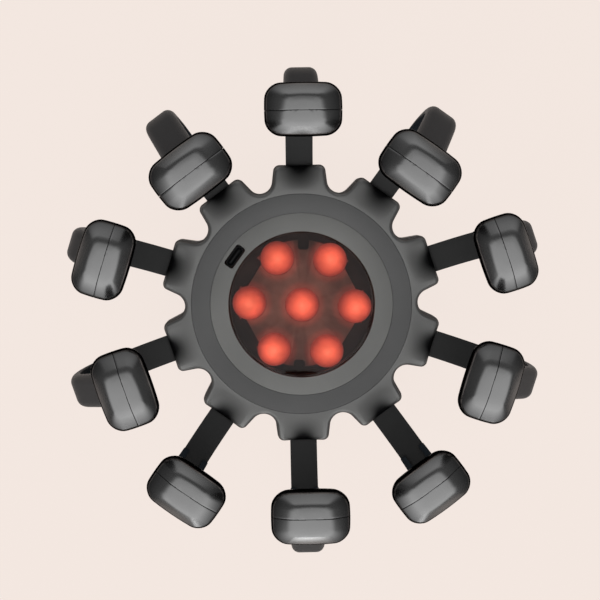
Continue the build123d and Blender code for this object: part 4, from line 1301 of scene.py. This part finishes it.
# ---------------------------------------------------------------- inner parts and stage
class MASSAGER_OT_inner_parts(bpy.types.Operator):
    """Gives the parts inside the hub and the pods their finishes"""
    bl_idname = "massager.inner_parts"
    bl_label = "Inner parts"

    def execute(self, context):
        finishes = inner_finishes()
        kinds = {"lamp_board": "board", "main_board": "board", "battery": "cell", "tactile_switch": "switch",
                 "clamp_ring": "inner_plastic", "housing_screws": "steel", "clamp_screws": "steel",
                 "lamp_board_screws": "steel", "main_board_screws": "steel"}
        kinds.update({f"pod_motor_{number}": "steel" for number in ARMS})
        for node, kind in kinds.items():
            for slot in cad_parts[node].material_slots:
                slot.material = finishes[kind]
        return {"FINISHED"}


class MASSAGER_OT_stage(bpy.types.Operator):
    """Sets up the pale floor, the studio light and the camera"""
    bl_idname = "massager.stage"
    bl_label = "Stage"

    def execute(self, context):
        stage, hub = settings("stage"), settings("hub")
        self.make_floor(stage)
        self.make_light(stage)
        self.make_camera(stage, hub)
        context.scene.view_settings.view_transform = "Standard"
        return {"FINISHED"}

    def make_floor(self, stage):
        bpy.ops.object.select_all(action="DESELECT")
        bpy.ops.mesh.primitive_plane_add(size=stage.floor_size * MM)
        floor = bpy.context.object
        floor.name = floor.data.name = "floor"
        floor.data.materials.append(floor_paper())

    def make_light(self, stage):
        world = bpy.data.worlds.new("studio_dome")
        world.use_nodes = True
        world.node_tree.nodes.clear()
        place = add(world, "ShaderNodeTexCoord")

        def panel(tilt, squeeze, inner, outer, strength):
            """Light of an oval panel in the dome, tilted from overhead towards +Y, that fades between two
            distances from its middle. Angles are in degrees."""
            tilt, inner, outer = radians(tilt), radians(inner), radians(outer)
            way = add(world, "ShaderNodeVectorMath", {1: (squeeze, 1.0, 1.0)}, {0: (place, "Generated")},
                      operation="MULTIPLY")
            way = add(world, "ShaderNodeVectorMath", None, {0: (way, "Vector")}, operation="NORMALIZE")
            near = add(world, "ShaderNodeVectorMath", {1: (0.0, sin(tilt), cos(tilt))}, {0: (way, "Vector")},
                       operation="DOT_PRODUCT")
            return add(world, "ShaderNodeMapRange", {"From Min": cos(outer), "From Max": cos(inner),
                                                     "To Min": 0.0, "To Max": strength},
                       {"Value": (near, "Value")}, interpolation_type="SMOOTHSTEP")

        overhead = panel(tilt=-33, squeeze=1.15, inner=42, outer=62, strength=stage.panel)
        behind = panel(tilt=68, squeeze=0.35, inner=10, outer=26, strength=stage.low_panel)
        before = panel(tilt=-84, squeeze=0.6, inner=3, outer=6.5, strength=stage.front_panel)
        front = add(world, "ShaderNodeSeparateXYZ", None, {"Vector": (place, "Generated")})
        slope = add(world, "ShaderNodeMath", {1: -stage.panel_slope, 2: 1.0}, {0: (front, "Y")},
                    operation="MULTIPLY_ADD")
        overhead = add(world, "ShaderNodeMath", None, {0: (overhead, "Result"), 1: (slope, "Value")},
                       operation="MULTIPLY")
        low = add(world, "ShaderNodeMath", None, {0: (before, "Result"), 1: (behind, "Result")},
                  operation="ADD")
        panels = add(world, "ShaderNodeMath", None, {0: (overhead, "Value"), 1: (low, "Value")},
                     operation="ADD")
        level = add(world, "ShaderNodeMath", {1: stage.dim}, {0: (panels, "Value")}, operation="ADD")
        sky = add(world, "ShaderNodeBackground", {"Color": linear("#FFFFFF")}, {"Strength": (level, "Value")})
        add(world, "ShaderNodeOutputWorld", links={"Surface": (sky, "Background")})
        bpy.context.scene.world = world
        # places and sizes in metres
        aim = Vector((0, 0, 0.04))
        for name, spot, size, power in (("key", (-0.35, -0.6, 0.95), 0.6, stage.key),
                                        ("fill", (0.3, 0.4, 1.1), 0.8, stage.fill)):
            lamp = bpy.data.lights.new(name, "AREA")
            lamp.size = size
            lamp.energy = power
            holder = bpy.data.objects.new(name, lamp)
            bpy.context.collection.objects.link(holder)
            holder.location = spot
            holder.rotation_euler = (aim - Vector(spot)).to_track_quat("-Z", "Y").to_euler()
            holder.visible_glossy = False

    def make_camera(self, stage, hub):
        view = bpy.data.cameras.new("front_view")
        view.lens = stage.ring_share * view.sensor_width * stage.distance / settings("window").trim_outer
        view.clip_start = 10 * MM
        camera = bpy.data.objects.new("front_view", view)
        bpy.context.collection.objects.link(camera)
        turn = (Matrix.Rotation(stage.pitch, 3, "X") @ Matrix.Rotation(stage.yaw, 3, "Y")
                @ Matrix.Rotation(stage.roll, 3, "Z")).transposed()
        place = turn @ Vector((-stage.right, -stage.up, stage.distance)) + Vector((0, 0, hub.height))
        camera.matrix_world = Matrix.Translation(place * MM) @ turn.to_4x4()
        bpy.context.scene.camera = camera


OPERATORS = [MASSAGER_OT_stage, MASSAGER_OT_face_cover, MASSAGER_OT_rear_housing, MASSAGER_OT_button,
             MASSAGER_OT_rings, MASSAGER_OT_socket, MASSAGER_OT_window, MASSAGER_OT_strips, MASSAGER_OT_legs,
             MASSAGER_OT_pods, MASSAGER_OT_inner_parts]


class MASSAGER_PT_sidebar(bpy.types.Panel):
    """Lists the pieces and their sizes"""
    bl_idname = "MASSAGER_PT_sidebar"
    bl_label = "Scalp massager"
    bl_space_type = "VIEW_3D"
    bl_region_type = "UI"
    bl_category = "Massager"

    def draw(self, context):
        for operator in OPERATORS:
            self.layout.operator(operator.bl_idname)
        for name, group in GROUPS.items():
            box = self.layout.box()
            box.label(text=name.title())
            for key in group.__annotations__:
                box.prop(getattr(context.scene, "massager_" + name), key)


CLASSES = list(GROUPS.values()) + OPERATORS + [MASSAGER_PT_sidebar]


def register():
    for cls in CLASSES:
        bpy.utils.register_class(cls)
    for name, group in GROUPS.items():
        setattr(bpy.types.Scene, "massager_" + name, PointerProperty(type=group))


def unregister():
    for name in GROUPS:
        delattr(bpy.types.Scene, "massager_" + name)
    for cls in reversed(CLASSES):
        bpy.utils.unregister_class(cls)


def main():
    register()
    for operator in OPERATORS:
        group, name = operator.bl_idname.split(".")
        getattr(getattr(bpy.ops, group), name)()


if __name__ == "__main__":
    main()
